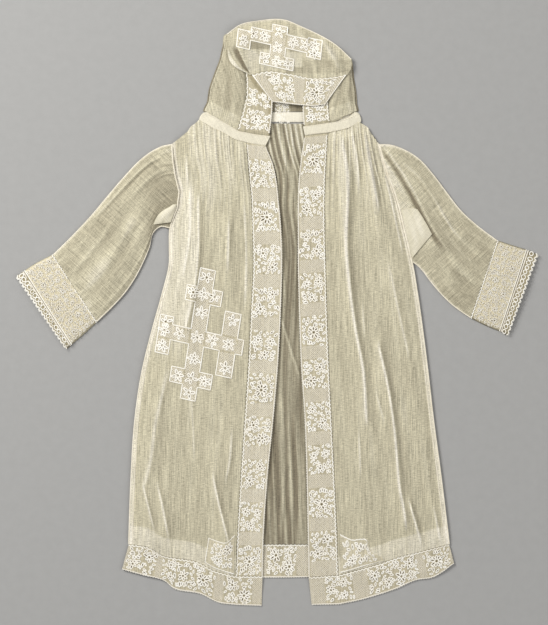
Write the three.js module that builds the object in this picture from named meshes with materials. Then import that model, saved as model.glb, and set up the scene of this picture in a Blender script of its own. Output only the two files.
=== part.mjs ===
// Hooded christening gown of sheer cream lawn with lace, laid flat and open down the front.
// Millimetres. +X runs to the viewer's right, +Y from the hem to the hood, +Z up off the floor.
import * as THREE from 'three';

// Cloth and seams
const WALL = 1.0; // wall of lawn and of lace
const SEAM = 0.4; // slit between two pieces sewn edge to edge
const LAYER = 0.3; // clearance between two layers that lie on each other
const TRIM_LIFT = 0.9; // clearance below lace sewn on top of a creased panel

// Fullness
const BACK_PLEATS = 28;
const BACK_PLEAT_RISE = 1.3;
const FRONT_GATHERS = 8;
const FRONT_GATHER_RISE = 2.0;
const GATHER_REACH = 0.24; // share of the front's length that the neck gathers run down
const SLEEVE_GATHERS = 6;
const SLEEVE_GATHER_RISE = 1.8;
const COLUMNS_PER_PLEAT = 3;

// Undersides of the layers
const ON_SEAM = WALL + LAYER; // where a front meets the flat edge of the back
const PLEAT_SLACK = 0.2; // extra clearance over the pleats
const ON_PLEATS = WALL + BACK_PLEAT_RISE + LAYER + PLEAT_SLACK;
const ON_HOOD = ON_PLEATS + WALL + LAYER;
const SEAM_SLOPE = 20; // width over which a front climbs from the side seam onto the pleats
const SEAM_FLAT = 4; // flat width of the back beside a side seam
const EDGE_CALM = 8; // folds die away over this width beside a seam
const HEM_CALM = 24; // and over this height at the hem
// Past an edge below, an upper layer lies flat for a little and then drops
const DROP_FLAT = 3;
const HEM_DROP = 18;
const FLOOR_DROP = 14;

// Body from the shoulder down: x of each side, lace seam and front edge at a level
const BODY = [
  { y: 186, rightEdge: 29.5, rightSeam: 53 },
  { y: 176, leftSide: -109, leftSeam: -32, leftEdge: -13, rightEdge: 27.5, rightSeam: 52.5, rightSide: 106 },
  { y: 150, leftSide: -107, leftSeam: -30, leftEdge: -3, rightEdge: 24, rightSeam: 51, rightSide: 113 },
  { y: 120, leftSide: -101, leftSeam: -27, leftEdge: 1, rightEdge: 22, rightSeam: 50, rightSide: 124 },
  { y: 88, leftSide: -111, leftSeam: -26, leftEdge: 4, rightEdge: 22, rightSeam: 50, rightSide: 132 },
  { y: 50, leftSide: -112, leftSeam: -25, leftEdge: 5, rightEdge: 22, rightSeam: 51, rightSide: 141 },
  { y: 10, leftSide: -122, leftSeam: -27, leftEdge: 4, rightEdge: 23, rightSeam: 52, rightSide: 147.5 },
  { y: -50, leftSide: -138, leftSeam: -30, leftEdge: 1, rightEdge: 25, rightSeam: 54, rightSide: 155.5 },
  { y: -110, leftSide: -147.5, leftSeam: -34, leftEdge: -4, rightEdge: 29, rightSeam: 57, rightSide: 162.5 },
  { y: -170, leftSide: -151.5, leftSeam: -38, leftEdge: -10, rightEdge: 31, rightSeam: 60, rightSide: 170.5 },
  { y: -240, leftSide: -154, leftSeam: -42, leftEdge: -14.5, rightEdge: 32.5, rightSeam: 63, rightSide: 179 },
  { y: -273, leftSeam: -43, leftEdge: -15, rightEdge: 33, rightSeam: 64 },
];
const SHOULDER_Y = 176;
const HEM_Y = -240;
const LEFT_UNDERARM_Y = 88;
const RIGHT_UNDERARM_Y = 53;
// Levels shared by the panels and the sleeve heads, so that the armhole edges run together
const LEVELS = [176, 159, 143, 126, 110, 99, 88, 70, 53, 20, -15, -60, -110, -165, -205, -240];

// Hem lace of the two fronts, from its sewn edge to its loose edge
const HEM_LEFT = [
  { topX: -154, topY: -240, lowX: -161, lowY: -266 },
  { topX: -134, topY: -243, lowX: -139, lowY: -272 },
  { topX: -118, topY: -252, lowX: -118, lowY: -277.5 },
  { topX: -107, topY: -254, lowX: -106, lowY: -286.5 },
  { topX: -84, topY: -258, lowX: -80, lowY: -291.5 },
  { topX: -66, topY: -267, lowX: -61, lowY: -300.5 },
  { topX: -43, topY: -273, lowX: -43, lowY: -303 },
];
const HEM_RIGHT = [
  { topX: 179, topY: -240, lowX: 184, lowY: -260 },
  { topX: 163, topY: -244, lowX: 163, lowY: -274 },
  { topX: 144, topY: -248.5, lowX: 144, lowY: -277.5 },
  { topX: 124, topY: -254, lowX: 124.5, lowY: -286 },
  { topX: 107, topY: -260, lowX: 107, lowY: -292 },
  { topX: 86, topY: -266, lowX: 86, lowY: -298 },
  { topX: 64, topY: -272, lowX: 64, lowY: -302.5 },
];
const HEM_LEFT_CORNER = { x: -16, y: -304 };
const HEM_RIGHT_CORNER = { x: 36, y: -303 };
const BACK_HEM = [
  { x: -161, low: -266 },
  { x: -101, low: -272 },
  { x: 10, low: -274.5 },
  { x: 107, low: -270 },
  { x: 184, low: -260 },
];

// Long creases of the fronts: plan path from the top down, half width and rise
const CREASES_LEFT = [
  { path: [[-87, 120], [-84, 65], [-89, 20], [-97, -25]], width: 9, rise: 1.6 },
  { path: [[-120, -65], [-127, -125], [-138, -180], [-129, -222]], width: 8, rise: 3.2 },
  { path: [[-126, -175], [-119, -202], [-112, -236]], width: 6, rise: 2.6 },
  { path: [[-68, -165], [-61, -195], [-50, -240]], width: 7, rise: 2.8 },
  { path: [[-50, 95], [-51, 45]], width: 7, rise: 2.2 },
  { path: [[-48, -125], [-49, -150], [-53, -178]], width: 6, rise: 2.0 },
];
const CREASES_RIGHT = [
  { path: [[70, 168], [72, 65], [83, -23], [93, -120]], width: 7, rise: 3.4 },
  { path: [[92, 165], [101, 125], [107, 92]], width: 7, rise: 2.6 },
  { path: [[104, -28], [116, -91], [125, -155], [135, -225]], width: 7, rise: 3.3 },
  { path: [[118, 55], [124, 13], [136, -45]], width: 8, rise: 2.0 },
  { path: [[137, -192], [143, -214], [150, -238]], width: 6, rise: 3.0 },
  { path: [[86, -125], [88, -172]], width: 6, rise: 1.8 },
];
const CREASE_FADE = 26; // length over which a crease rises out of the cloth

// Sleeves from the armhole to the cuff: upper edge, under edge and puff of the top layer
const SLEEVE_LEFT = [
  { topX: -109, topY: 176, underX: -111, underY: 88, puff: 0.8 },
  { topX: -124, topY: 172, underX: -126, underY: 88, puff: 1.3 },
  { topX: -145, topY: 157, underX: -134, underY: 65, puff: 1.8 },
  { topX: -172, topY: 127, underX: -146, underY: 39, puff: 2.0 },
  { topX: -201, topY: 93, underX: -162, underY: 16, puff: 1.8 },
  { topX: -233, topY: 61, underX: -187, underY: -9, puff: 1.4 },
];
const SLEEVE_RIGHT = [
  { topX: 106, topY: 176, underX: 139.9, underY: 53, puff: 0.8 },
  { topX: 124, topY: 174, underX: 149, underY: 46, puff: 1.3 },
  { topX: 150, topY: 159, underX: 160, underY: 32, puff: 1.9 },
  { topX: 174, topY: 129, underX: 172, underY: 18, puff: 2.0 },
  { topX: 197, topY: 101, underX: 185, underY: 6, puff: 1.8 },
  { topX: 229, topY: 76, underX: 201, underY: -5, puff: 1.4 },
];
const SLEEVE_RINGS = 8;
const SLEEVE_EDGE = 2.8; // height of the folded edge of a sleeve
// Creases along a sleeve: share of its length from and to, share across at both ends
const SLEEVE_CREASES = [
  { from: 0.05, to: 0.75, startAcross: 0.2, endAcross: 0.3, width: 0.07, rise: 1.0 },
  { from: 0.1, to: 0.9, startAcross: 0.45, endAcross: 0.55, width: 0.08, rise: 1.1 },
  { from: 0.35, to: 0.98, startAcross: 0.72, endAcross: 0.8, width: 0.07, rise: 0.9 },
];
const CUFF_LEFT = [
  { topX: -233, topY: 61, underX: -187, underY: -9, puff: 1.4 },
  { topX: -249, topY: 53, underX: -200, underY: -21, puff: 1.8 },
  { topX: -263, topY: 44, underX: -214, underY: -33, puff: 1.4 },
];
const EDGING_LEFT = [
  { topX: -263, topY: 44, underX: -214, underY: -33, puff: 1.2 },
  { topX: -270, topY: 39, underX: -218.5, underY: -37, puff: 1.2 },
];
const CUFF_RIGHT = [
  { topX: 229, topY: 76, underX: 201, underY: -5, puff: 1.4 },
  { topX: 244, topY: 71, underX: 217, underY: -13, puff: 1.8 },
  { topX: 260, topY: 66, underX: 232, underY: -19, puff: 1.4 },
];
const EDGING_RIGHT = [
  { topX: 260, topY: 66, underX: 232, underY: -19, puff: 1.2 },
  { topX: 270, topY: 62, underX: 239, underY: -23, puff: 1.2 },
];
// Underarm squares: corners as shares along and across the sleeve
const GUSSET_LEFT = {
  high: [0.012, 0.63], outer: [0.06, 0.64], far: [0.26, 0.88], low: [0.012, 0.955], belly: [0, 0],
};
const GUSSET_RIGHT = {
  high: [0.012, 0.53], outer: [0.3, 0.46], far: [0.46, 0.56], low: [0.012, 0.965], belly: [0.168, -0.081],
};

// Neckband: lower and upper edge, each front leg from the opening to the fold at the neck
const NECK_LEFT = [
  { lowX: -12, lowY: 174, topX: -7, topY: 184 },
  { lowX: -28, lowY: 176.5, topX: -23, topY: 186 },
  { lowX: -43, lowY: 180.5, topX: -40, topY: 189.5 },
  { lowX: -56, lowY: 188, topX: -51, topY: 196 },
  { lowX: -68, lowY: 193.5, topX: -63, topY: 203 },
  { lowX: -80, lowY: 199.5, topX: -75, topY: 209 },
];
const NECK_RIGHT = [
  { lowX: 29, lowY: 184.8, topX: 27, topY: 194 },
  { lowX: 41, lowY: 186.3, topX: 41, topY: 196 },
  { lowX: 53, lowY: 187.6, topX: 55, topY: 198 },
  { lowX: 66, lowY: 190.5, topX: 67, topY: 200 },
  { lowX: 76, lowY: 193.6, topX: 76, topY: 204 },
  { lowX: 86, lowY: 198, topX: 83, topY: 209 },
];

// Hood from the neck to the top: face edge and fold of each side, rise of the back in the middle
const HOOD = [
  { faceL: [-41, 191.5], foldL: [-74, 209.6], foldR: [82, 209.6], faceR: [55, 200], arch: 0 },
  { faceL: [-36, 209], foldL: [-71, 220], foldR: [81.5, 218], faceR: [54, 211], arch: 0 },
  { faceL: [-32, 226], foldL: [-69, 233], foldR: [80.5, 231], faceR: [53, 223], arch: 2 },
  { faceL: [-32, 242], foldL: [-64, 248], foldR: [78.5, 244], faceR: [55, 236], arch: 6 },
  { faceL: [-34, 258], foldL: [-58, 264], foldR: [77.5, 254], faceR: [58, 246], arch: 12 },
  { faceL: [-36, 273], foldL: [-55, 277], foldR: [76.5, 261], faceR: [60, 254], arch: 17 },
  { faceL: [-38, 283], foldL: [-51, 290], foldR: [75, 265], faceR: [61, 261], arch: 24 },
];
const FOLD_STEPS = 5;
// Crown of the hood, folded forward over the face
const CROWN_TOP = [
  [-52, 290], [-38, 300], [-20, 304], [-2, 306], [9, 305], [26, 298], [43, 290], [61, 279], [77, 264],
];
const CROWN_LEFT = [[-52, 290], [-50, 272], [-42, 257], [-28, 248]];
const CROWN_RIGHT = [[77, 264], [77.5, 256], [74, 249]];
const CROWN_LOW = [[-28, 248], [-9, 252], [14, 249], [34, 245], [55, 245.5], [74, 249]];
const CROWN_BAND_TOP = [[-26, 247.6], [-9, 251.2], [14, 248.2], [34, 244.2], [55, 244.7], [72, 247.8]];
const CROWN_BAND_LOW = [[-5, 220], [10, 218], [24, 216.5], [38, 215.5], [50, 217]];
const CROWN_CREASES = [
  { path: [[-34, 300], [-41, 275], [-34, 252]], width: 8, rise: 3.0 },
  { path: [[44, 287], [57, 268], [66, 249]], width: 7, rise: 2.8 },
  { path: [[2, 300], [8, 275], [4, 254]], width: 9, rise: 1.6 },
];
const CROWN_CREASE_FADE = 14;
const CROWN_ROLL = 16; // width of the rolled top edge
const CROWN_ROLL_REACH = { from: -30, full: -14, fade: 38, to: 54 }; // where along x the edge rolls down
const CROWN_SMOOTH = { top: 4, topEnd: 14, low: 246, lowEnd: 258 }; // strips without creases at both edges

// Lace crosses sewn on: slope of the arms, lean of the stem, coarsest step over the panel, and
// each bar's reach along the arm and along the stem
const FRONT_CROSS = {
  step: 8,
  centre: [-82.7, -25.5],
  arm: [0.976, -0.216],
  stem: [0.155, 0.988],
  bars: [
    { arm: [-8, 8], stem: [-66, 73] },
    { arm: [-19, 19], stem: [37, 53] },
    { arm: [-22, 22], stem: [-51, -35] },
    { arm: [-42, 49], stem: [-8, 8] },
    { arm: [25, 42], stem: [-34, 34] },
    { arm: [-42, -28], stem: [-24, 16] },
  ],
};
const HOOD_CROSS = {
  step: 5,
  centre: [2, 284],
  arm: [0.976, -0.216],
  stem: [0.1, 0.995],
  bars: [
    { arm: [-8, 8], stem: [-29, 15] },
    { arm: [-18, 18], stem: [-29, -17] },
    { arm: [-30, 46], stem: [-7, 7] },
    { arm: [-44, -30], stem: [-17, 2] },
    { arm: [31, 46], stem: [-11, 9] },
  ],
};

// Curved lace pieces at the inner hem corners
const CORNER_LEFT = {
  top: [[-71, -233], [-60, -237], [-53, -238], [-44, -230]],
  low: [[-75, -258.5], [-66, -264], [-55, -268], [-45, -271]],
};
const CORNER_RIGHT = {
  top: [[65.5, -229], [79, -235], [92, -234], [97, -246], [111, -254]],
  low: [[66, -269.5], [79, -266], [90, -262.5], [100, -260], [111, -256.5]],
};

const LAWN = { color: 0xe6ddc6, roughness: 0.9, metalness: 0 };
const LACE = { color: 0xf2ead8, roughness: 0.85, metalness: 0 };

const { smoothstep, lerp } = THREE.MathUtils;

// Value of a table column at any place along its key column, on a smooth curve through the rows.
function column(table, key, name) {
  const rows = table.filter((row) => name in row).sort((a, b) => a[key] - b[key]);
  const places = rows.map((row) => row[key]);
  const spline = new THREE.CubicInterpolant(places, rows.map((row) => row[name]), 1);
  return (place) => spline.evaluate(place)[0];
}

// Smooth plan curve through stations, read by its share of the length.
function curve(stations) {
  const points = stations.map(([x, y]) => new THREE.Vector3(x, y, 0));
  const path = new THREE.CatmullRomCurve3(points, false, 'centripetal');
  return (share) => {
    const at = path.getPointAt(share);
    return [at.x, at.y];
  };
}

// Straight-sided plan line through stations, each station an equal share along.
function rail(stations) {
  const spans = stations.length - 1;
  return (share) => {
    const i = Math.min(Math.floor(share * spans), spans - 1);
    const part = share * spans - i;
    return [
      lerp(stations[i][0], stations[i + 1][0], part),
      lerp(stations[i][1], stations[i + 1][1], part),
    ];
  };
}

// Two lines end to end, the first taking a stated share.
function joined(first, second, split) {
  return (share) => (share < split ? first(share / split) : second((share - split) / (1 - split)));
}

function moved(line, dx, dy) {
  return (share) => {
    const [x, y] = line(share);
    return [x + dx, y + dy];
  };
}

// Plan point of a four-sided panel between its edge lines, u across and v down.
function panelPoint({ top, low, start, end }, u, v) {
  const [t, l, s, e] = [top(u), low(u), start(v), end(v)];
  const corners = [top(0), top(1), low(0), low(1)];
  const weights = [(1 - u) * (1 - v), u * (1 - v), (1 - u) * v, u * v];
  return [0, 1].map((axis) => {
    const edges = (1 - v) * t[axis] + v * l[axis] + (1 - u) * s[axis] + u * e[axis];
    return edges - corners.reduce((sum, corner, i) => sum + weights[i] * corner[axis], 0);
  });
}

function evenly(count) {
  return Array.from({ length: count + 1 }, (_, i) => i / count);
}

// Closed solid from corner points and triangles, turned outside out.
function solid(points, triangles) {
  const volume = triangles.reduce((sum, [a, b, c]) => {
    const normal = new THREE.Vector3().crossVectors(points[b], points[c]);
    return sum + points[a].dot(normal);
  }, 0);
  const outward = volume > 0 ? triangles : triangles.map(([a, b, c]) => [a, c, b]);
  const geometry = new THREE.BufferGeometry();
  const positions = points.flatMap((p) => p.toArray());
  geometry.setAttribute('position', new THREE.Float32BufferAttribute(positions, 3));
  geometry.setIndex(outward.flat());
  geometry.computeVertexNormals();
  return geometry;
}

// Wall between an upper and a lower grid of points. A flat underside needs only its rim.
function wall(upper, lower, flatUnder = false) {
  const rows = upper.length;
  const columns = upper[0].length;
  const points = [...upper.flat(), ...lower.flat()];
  const under = rows * columns;
  const at = (r, c) => r * columns + c;
  const triangles = [];
  for (let r = 0; r < rows - 1; r++) {
    for (let c = 0; c < columns - 1; c++) {
      const [a, b, d, e] = [at(r, c), at(r + 1, c), at(r + 1, c + 1), at(r, c + 1)];
      triangles.push([a, b, d], [a, d, e]);
      if (!flatUnder) {
        triangles.push([under + a, under + d, under + b], [under + a, under + e, under + d]);
      }
    }
  }
  const rim = [];
  for (let c = 0; c < columns - 1; c++) rim.push(at(0, c));
  for (let r = 0; r < rows - 1; r++) rim.push(at(r, columns - 1));
  for (let c = columns - 1; c > 0; c--) rim.push(at(rows - 1, c));
  for (let r = rows - 1; r > 0; r--) rim.push(at(r, 0));
  rim.forEach((p, i) => {
    const q = rim[(i + 1) % rim.length];
    triangles.push([p, q, under + q], [p, under + q, under + p]);
  });
  if (flatUnder) {
    const ends = [0, columns - 1];
    const whole = [...Array(columns).keys()];
    const rung = (r) => (r > 0 && r < rows - 1 ? ends : whole).map((c) => under + at(r, c));
    for (let r = 0; r < rows - 1; r++) {
      const [high, low] = [rung(r), rung(r + 1)];
      const [i, j] = high.length > low.length ? [high.length - 1, 0] : [0, low.length - 1];
      for (let c = 0; c < high.length - 1; c++) triangles.push([high[c], high[c + 1], low[j]]);
      for (let c = 0; c < low.length - 1; c++) triangles.push([high[i], low[c + 1], low[c]]);
    }
  }
  return solid(points, triangles);
}

// Panel of cloth: underside height from the plan point and the shares across and down.
function panel(edges, across, down, underside, { flatUnder = false, rise = () => 0 } = {}) {
  const upper = [];
  const lower = [];
  for (const v of down) {
    const plan = across.map((u) => [...panelPoint(edges, u, v), u]);
    lower.push(plan.map(([x, y, u]) => new THREE.Vector3(x, y, underside(x, y, u, v))));
    upper.push(plan.map(([x, y, u]) => (
      new THREE.Vector3(x, y, underside(x, y, u, v) + WALL + rise(x, y, u, v))
    )));
  }
  return wall(upper, lower, flatUnder);
}

// Open tube with a wall: outer and inner rings with the same number of points.
function tube(outer, inner) {
  const around = outer[0].length;
  const rings = outer.length;
  const points = [...outer.flat(), ...inner.flat()];
  const inside = rings * around;
  const at = (k, i) => k * around + (i % around);
  const triangles = [];
  for (let k = 0; k < rings - 1; k++) {
    for (let i = 0; i < around; i++) {
      const [a, b, d, e] = [at(k, i), at(k + 1, i), at(k + 1, i + 1), at(k, i + 1)];
      triangles.push([a, b, d], [a, d, e]);
      triangles.push([inside + a, inside + d, inside + b], [inside + a, inside + e, inside + d]);
    }
  }
  for (let i = 0; i < around; i++) {
    const [p, q] = [at(0, i), at(0, i + 1)];
    triangles.push([p, q, inside + q], [p, inside + q, inside + p]);
    const [s, t] = [at(rings - 1, i), at(rings - 1, i + 1)];
    triangles.push([t, s, inside + s], [t, inside + s, inside + t]);
  }
  return solid(points, triangles);
}

// Height of the creases at a plan point.
function creaseHeight(creases, fade) {
  const ridges = creases.map(({ path, width, rise }) => ({
    centre: column(path.map(([x, y]) => ({ x, y })), 'y', 'x'),
    high: path[0][1],
    low: path[path.length - 1][1],
    width,
    rise,
  }));
  return (x, y) => ridges.reduce((sum, { centre, high, low, width, rise }) => {
    const lowEnd = smoothstep(y, low - fade / 2, low + fade / 2);
    const highEnd = 1 - smoothstep(y, high - fade / 2, high + fade / 2);
    const off = (x - centre(y)) / width;
    return sum + rise * lowEnd * highEnd * Math.exp(-off * off);
  }, 0);
}

// Height of the upper face of a finished panel at a plan point.
function upperFace(geometry) {
  const mesh = new THREE.Mesh(geometry, new THREE.MeshBasicMaterial());
  const ray = new THREE.Raycaster();
  const straightDown = new THREE.Vector3(0, 0, -1);
  const above = 100; // higher than the gown
  return (x, y) => {
    ray.set(new THREE.Vector3(x, y, above), straightDown);
    return ray.intersectObject(mesh)[0].point.z;
  };
}

function pleat(count, share) {
  return 0.5 - 0.5 * Math.cos(2 * Math.PI * count * share);
}

// Body edges by level
const leftSide = column(BODY, 'y', 'leftSide');
const rightSide = column(BODY, 'y', 'rightSide');
const leftSeam = column(BODY, 'y', 'leftSeam');
const rightSeam = column(BODY, 'y', 'rightSeam');
const leftEdge = column(BODY, 'y', 'leftEdge');
const rightEdge = column(BODY, 'y', 'rightEdge');
const backHemLow = column(BACK_HEM, 'x', 'low');

function upright(x, fromY, toY) {
  return (share) => {
    const y = lerp(fromY, toY, share);
    return [x(y), y];
  };
}

const down = LEVELS.map((y) => (SHOULDER_Y - y) / (SHOULDER_Y - HEM_Y));

// Underside of whatever lies on the back: up on the pleats, down at the seams and past the hem.
function onBack(x, y) {
  const inside = Math.min(x - leftSide(y), rightSide(y) - x);
  const aboveHem = smoothstep(y, HEM_Y - HEM_DROP, HEM_Y - DROP_FLAT);
  const overPleats = smoothstep(inside, 0, SEAM_SLOPE) * aboveHem;
  const low = backHemLow(x);
  const overHem = smoothstep(y, low - FLOOR_DROP, low - DROP_FLAT);
  return lerp(ON_SEAM, ON_PLEATS, overPleats) * overHem;
}

// Back: gathered into the neckband in pleats that fan out to the hem
const shoulderLeft = curve([[-109, 176], [-95, 187], [-80, 198]]);
const shoulderRight = curve([[84, 196.5], [95, 190], [106, 176]]);
const backNeck = rail([[-80, 198], [84, 196.5]]);
const SHOULDER_SHARE = 0.05;
const leftAndNeck = joined(shoulderLeft, backNeck, SHOULDER_SHARE / (1 - SHOULDER_SHARE));
const backEdges = {
  top: joined(leftAndNeck, shoulderRight, 1 - SHOULDER_SHARE),
  low: rail([[-154, HEM_Y], [179, HEM_Y]]),
  start: upright(leftSide, SHOULDER_Y, HEM_Y),
  end: upright(rightSide, SHOULDER_Y, HEM_Y),
};
const backAcross = [
  ...[0, 0.5].map((share) => share * SHOULDER_SHARE),
  ...evenly(BACK_PLEATS * COLUMNS_PER_PLEAT).map((share) => (
    lerp(SHOULDER_SHARE, 1 - SHOULDER_SHARE, share)
  )),
  ...[0.5, 1].map((share) => 1 - SHOULDER_SHARE + share * SHOULDER_SHARE),
];
function backPleat(x, y, u) {
  const share = (u - SHOULDER_SHARE) / (1 - 2 * SHOULDER_SHARE);
  if (share <= 0 || share >= 1) return 0;
  const inside = Math.min(x - leftSide(y), rightSide(y) - x);
  return BACK_PLEAT_RISE * pleat(BACK_PLEATS, share) * smoothstep(inside, SEAM_FLAT, SEAM_SLOPE);
}
const back = panel(backEdges, backAcross, down, () => 0, { flatUnder: true, rise: backPleat });

const BACK_HEM_COLUMNS = 24;
const BACK_HEM_ROWS = 2;
const backHemLace = panel({
  top: rail([[-154, HEM_Y - SEAM], [179, HEM_Y - SEAM]]),
  low: curve(BACK_HEM.map(({ x, low }) => [x, low])),
  start: rail([[-154, HEM_Y - SEAM], [-161, -266]]),
  end: rail([[179, HEM_Y - SEAM], [184, -260]]),
}, evenly(BACK_HEM_COLUMNS), evenly(BACK_HEM_ROWS), () => 0);

// Fronts: from the side seam to the lace seam, gathered at the neck, creased down their length
const FRONT_NECK_COLUMNS = FRONT_GATHERS * COLUMNS_PER_PLEAT;
const FRONT_SHOULDER_COLUMNS = 7;
const FRONT_COLUMNS = FRONT_NECK_COLUMNS + FRONT_SHOULDER_COLUMNS;
const FRONT_SHOULDER_SHARE = FRONT_SHOULDER_COLUMNS / FRONT_COLUMNS;
const across = evenly(FRONT_COLUMNS);

function frontPanel({ edges, seam, creases }) {
  const crease = creaseHeight(creases, CREASE_FADE);
  const calm = (x, y) => {
    const side = Math.min(x - leftSide(y), rightSide(y) - x);
    return smoothstep(side, 0, EDGE_CALM) * smoothstep(Math.abs(x - seam(y)), 0, EDGE_CALM);
  };
  const underside = (x, y, u, v) => {
    const share = (u - FRONT_SHOULDER_SHARE) / (1 - FRONT_SHOULDER_SHARE);
    const gather = share > 0 ? pleat(FRONT_GATHERS, share) * (1 - smoothstep(v, 0, GATHER_REACH)) : 0;
    const creased = calm(x, y) * crease(x, y) * smoothstep(y, HEM_Y - HEM_CALM, HEM_Y);
    return onBack(x, y) + creased + FRONT_GATHER_RISE * gather;
  };
  return panel(edges, across, down, underside);
}

const hemLeftTop = curve(HEM_LEFT.map(({ topX, topY }) => [topX, topY]));
const hemRightTop = curve(HEM_RIGHT.map(({ topX, topY }) => [topX, topY]));
const neckLeft = curve([[-80, 198], [-68, 192], [-56, 187], [-43, 179], [-32, 176]]);
const neckRight = curve([[84, 196.5], [76, 192], [66, 189], [53, 186]]);
const frontLeft = frontPanel({
  edges: {
    top: joined(shoulderLeft, neckLeft, FRONT_SHOULDER_SHARE),
    low: hemLeftTop,
    start: upright(leftSide, SHOULDER_Y, HEM_Y),
    end: upright(leftSeam, 176, -273),
  },
  seam: leftSeam,
  creases: CREASES_LEFT,
});
const frontRight = frontPanel({
  edges: {
    top: joined((share) => shoulderRight(1 - share), neckRight, FRONT_SHOULDER_SHARE),
    low: hemRightTop,
    start: upright(rightSide, SHOULDER_Y, HEM_Y),
    end: upright(rightSeam, 186, -272),
  },
  seam: rightSeam,
  creases: CREASES_RIGHT,
});

// Lace bands down both front edges
const BAND_ROWS = 24;
const BAND_COLUMNS = 3;
const BAND_LEFT = { seamTop: 175.4, edgeTop: 173, seamLow: -273, edgeLow: -273 };
const BAND_RIGHT = { seamTop: 185.2, edgeTop: 182.5, seamLow: -272, edgeLow: -274 };
function frontBand({ seamTop, edgeTop, seamLow, edgeLow }, seam, edge, shift) {
  const sewn = moved(upright(seam, seamTop, seamLow), shift, 0);
  const loose = upright(edge, edgeTop, edgeLow);
  const band = {
    top: rail([sewn(0), loose(0)]),
    low: rail([sewn(1), loose(1)]),
    start: sewn,
    end: loose,
  };
  return panel(band, evenly(BAND_COLUMNS), evenly(BAND_ROWS), onBack);
}
const bandLeft = frontBand(BAND_LEFT, leftSeam, leftEdge, SEAM);
const bandRight = frontBand(BAND_RIGHT, rightSeam, rightEdge, -SEAM);

// Hem lace of each front, past the band to the front corner
const HEM_BAND_COLUMNS = 6;
const HEM_ROWS = 3;
const HEM_SPLIT = FRONT_COLUMNS / (FRONT_COLUMNS + HEM_BAND_COLUMNS);
function hemLace(table, top, bandLow, corner) {
  const low = curve(table.map(({ lowX, lowY }) => [lowX, lowY]));
  const lastLow = low(1);
  const hem = {
    top: moved(joined(top, bandLow, HEM_SPLIT), 0, -SEAM),
    low: joined(low, rail([lastLow, [corner.x, corner.y]]), HEM_SPLIT),
  };
  hem.start = rail([hem.top(0), hem.low(0)]);
  hem.end = rail([hem.top(1), hem.low(1)]);
  return panel(hem, evenly(FRONT_COLUMNS + HEM_BAND_COLUMNS), evenly(HEM_ROWS), onBack);
}
const hemLaceLeft = hemLace(HEM_LEFT, hemLeftTop, rail([[-43, -273], [-15, -273]]), HEM_LEFT_CORNER);
const hemLaceRight = hemLace(HEM_RIGHT, hemRightTop, rail([[64, -272], [33, -274]]), HEM_RIGHT_CORNER);

// Lace lying on a front
const CORNER_COLUMNS = 8;
const CORNER_ROWS = 4;
function cornerLace({ top, low }, front) {
  const surface = upperFace(front);
  return panel({
    top: curve(top),
    low: curve(low),
    start: rail([top[0], low[0]]),
    end: rail([top.at(-1), low.at(-1)]),
  }, evenly(CORNER_COLUMNS), evenly(CORNER_ROWS), (x, y) => surface(x, y) + TRIM_LIFT);
}

// Cross of lace bars on a panel: cells of a lattice that any bar covers.
function cross({ step, centre, arm, stem, bars }, panelBelow) {
  const surface = upperFace(panelBelow);
  const lines = (name) => {
    const ends = [...new Set(bars.flatMap((bar) => bar[name]))].sort((a, b) => a - b);
    return ends.flatMap((from, i) => {
      if (i === ends.length - 1) return [from];
      const steps = Math.ceil((ends[i + 1] - from) / step);
      return evenly(steps).slice(0, -1).map((share) => lerp(from, ends[i + 1], share));
    });
  };
  const [as, bs] = [lines('arm'), lines('stem')];
  const within = (value, [from, to]) => value > from && value < to;
  const filled = (i, j) => {
    const inside = i >= 0 && j >= 0 && i < as.length - 1 && j < bs.length - 1;
    if (!inside) return false;
    const [a, b] = [(as[i] + as[i + 1]) / 2, (bs[j] + bs[j + 1]) / 2];
    return bars.some((bar) => within(a, bar.arm) && within(b, bar.stem));
  };
  const points = [];
  const known = new Map();
  const corner = (i, j, top) => {
    const key = `${i},${j},${top}`;
    if (!known.has(key)) {
      const x = centre[0] + as[i] * arm[0] + bs[j] * stem[0];
      const y = centre[1] + as[i] * arm[1] + bs[j] * stem[1];
      const z = surface(x, y) + TRIM_LIFT + (top ? WALL : 0);
      known.set(key, points.push(new THREE.Vector3(x, y, z)) - 1);
    }
    return known.get(key);
  };
  const triangles = [];
  const quad = (a, b, c, d) => triangles.push([a, b, c], [a, c, d]);
  for (let i = 0; i < as.length - 1; i++) {
    for (let j = 0; j < bs.length - 1; j++) {
      if (!filled(i, j)) continue;
      const loop = [[i, j], [i + 1, j], [i + 1, j + 1], [i, j + 1]];
      const beside = [[i, j - 1], [i + 1, j], [i, j + 1], [i - 1, j]];
      quad(...loop.map(([p, q]) => corner(p, q, true)));
      quad(...loop.map(([p, q]) => corner(p, q, false)).reverse());
      beside.forEach(([p, q], side) => {
        if (filled(p, q)) return;
        const [from, to] = [loop[side], loop[(side + 1) % loop.length]];
        quad(corner(...from, false), corner(...to, false), corner(...to, true), corner(...from, true));
      });
    }
  }
  return solid(points, triangles);
}

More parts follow.
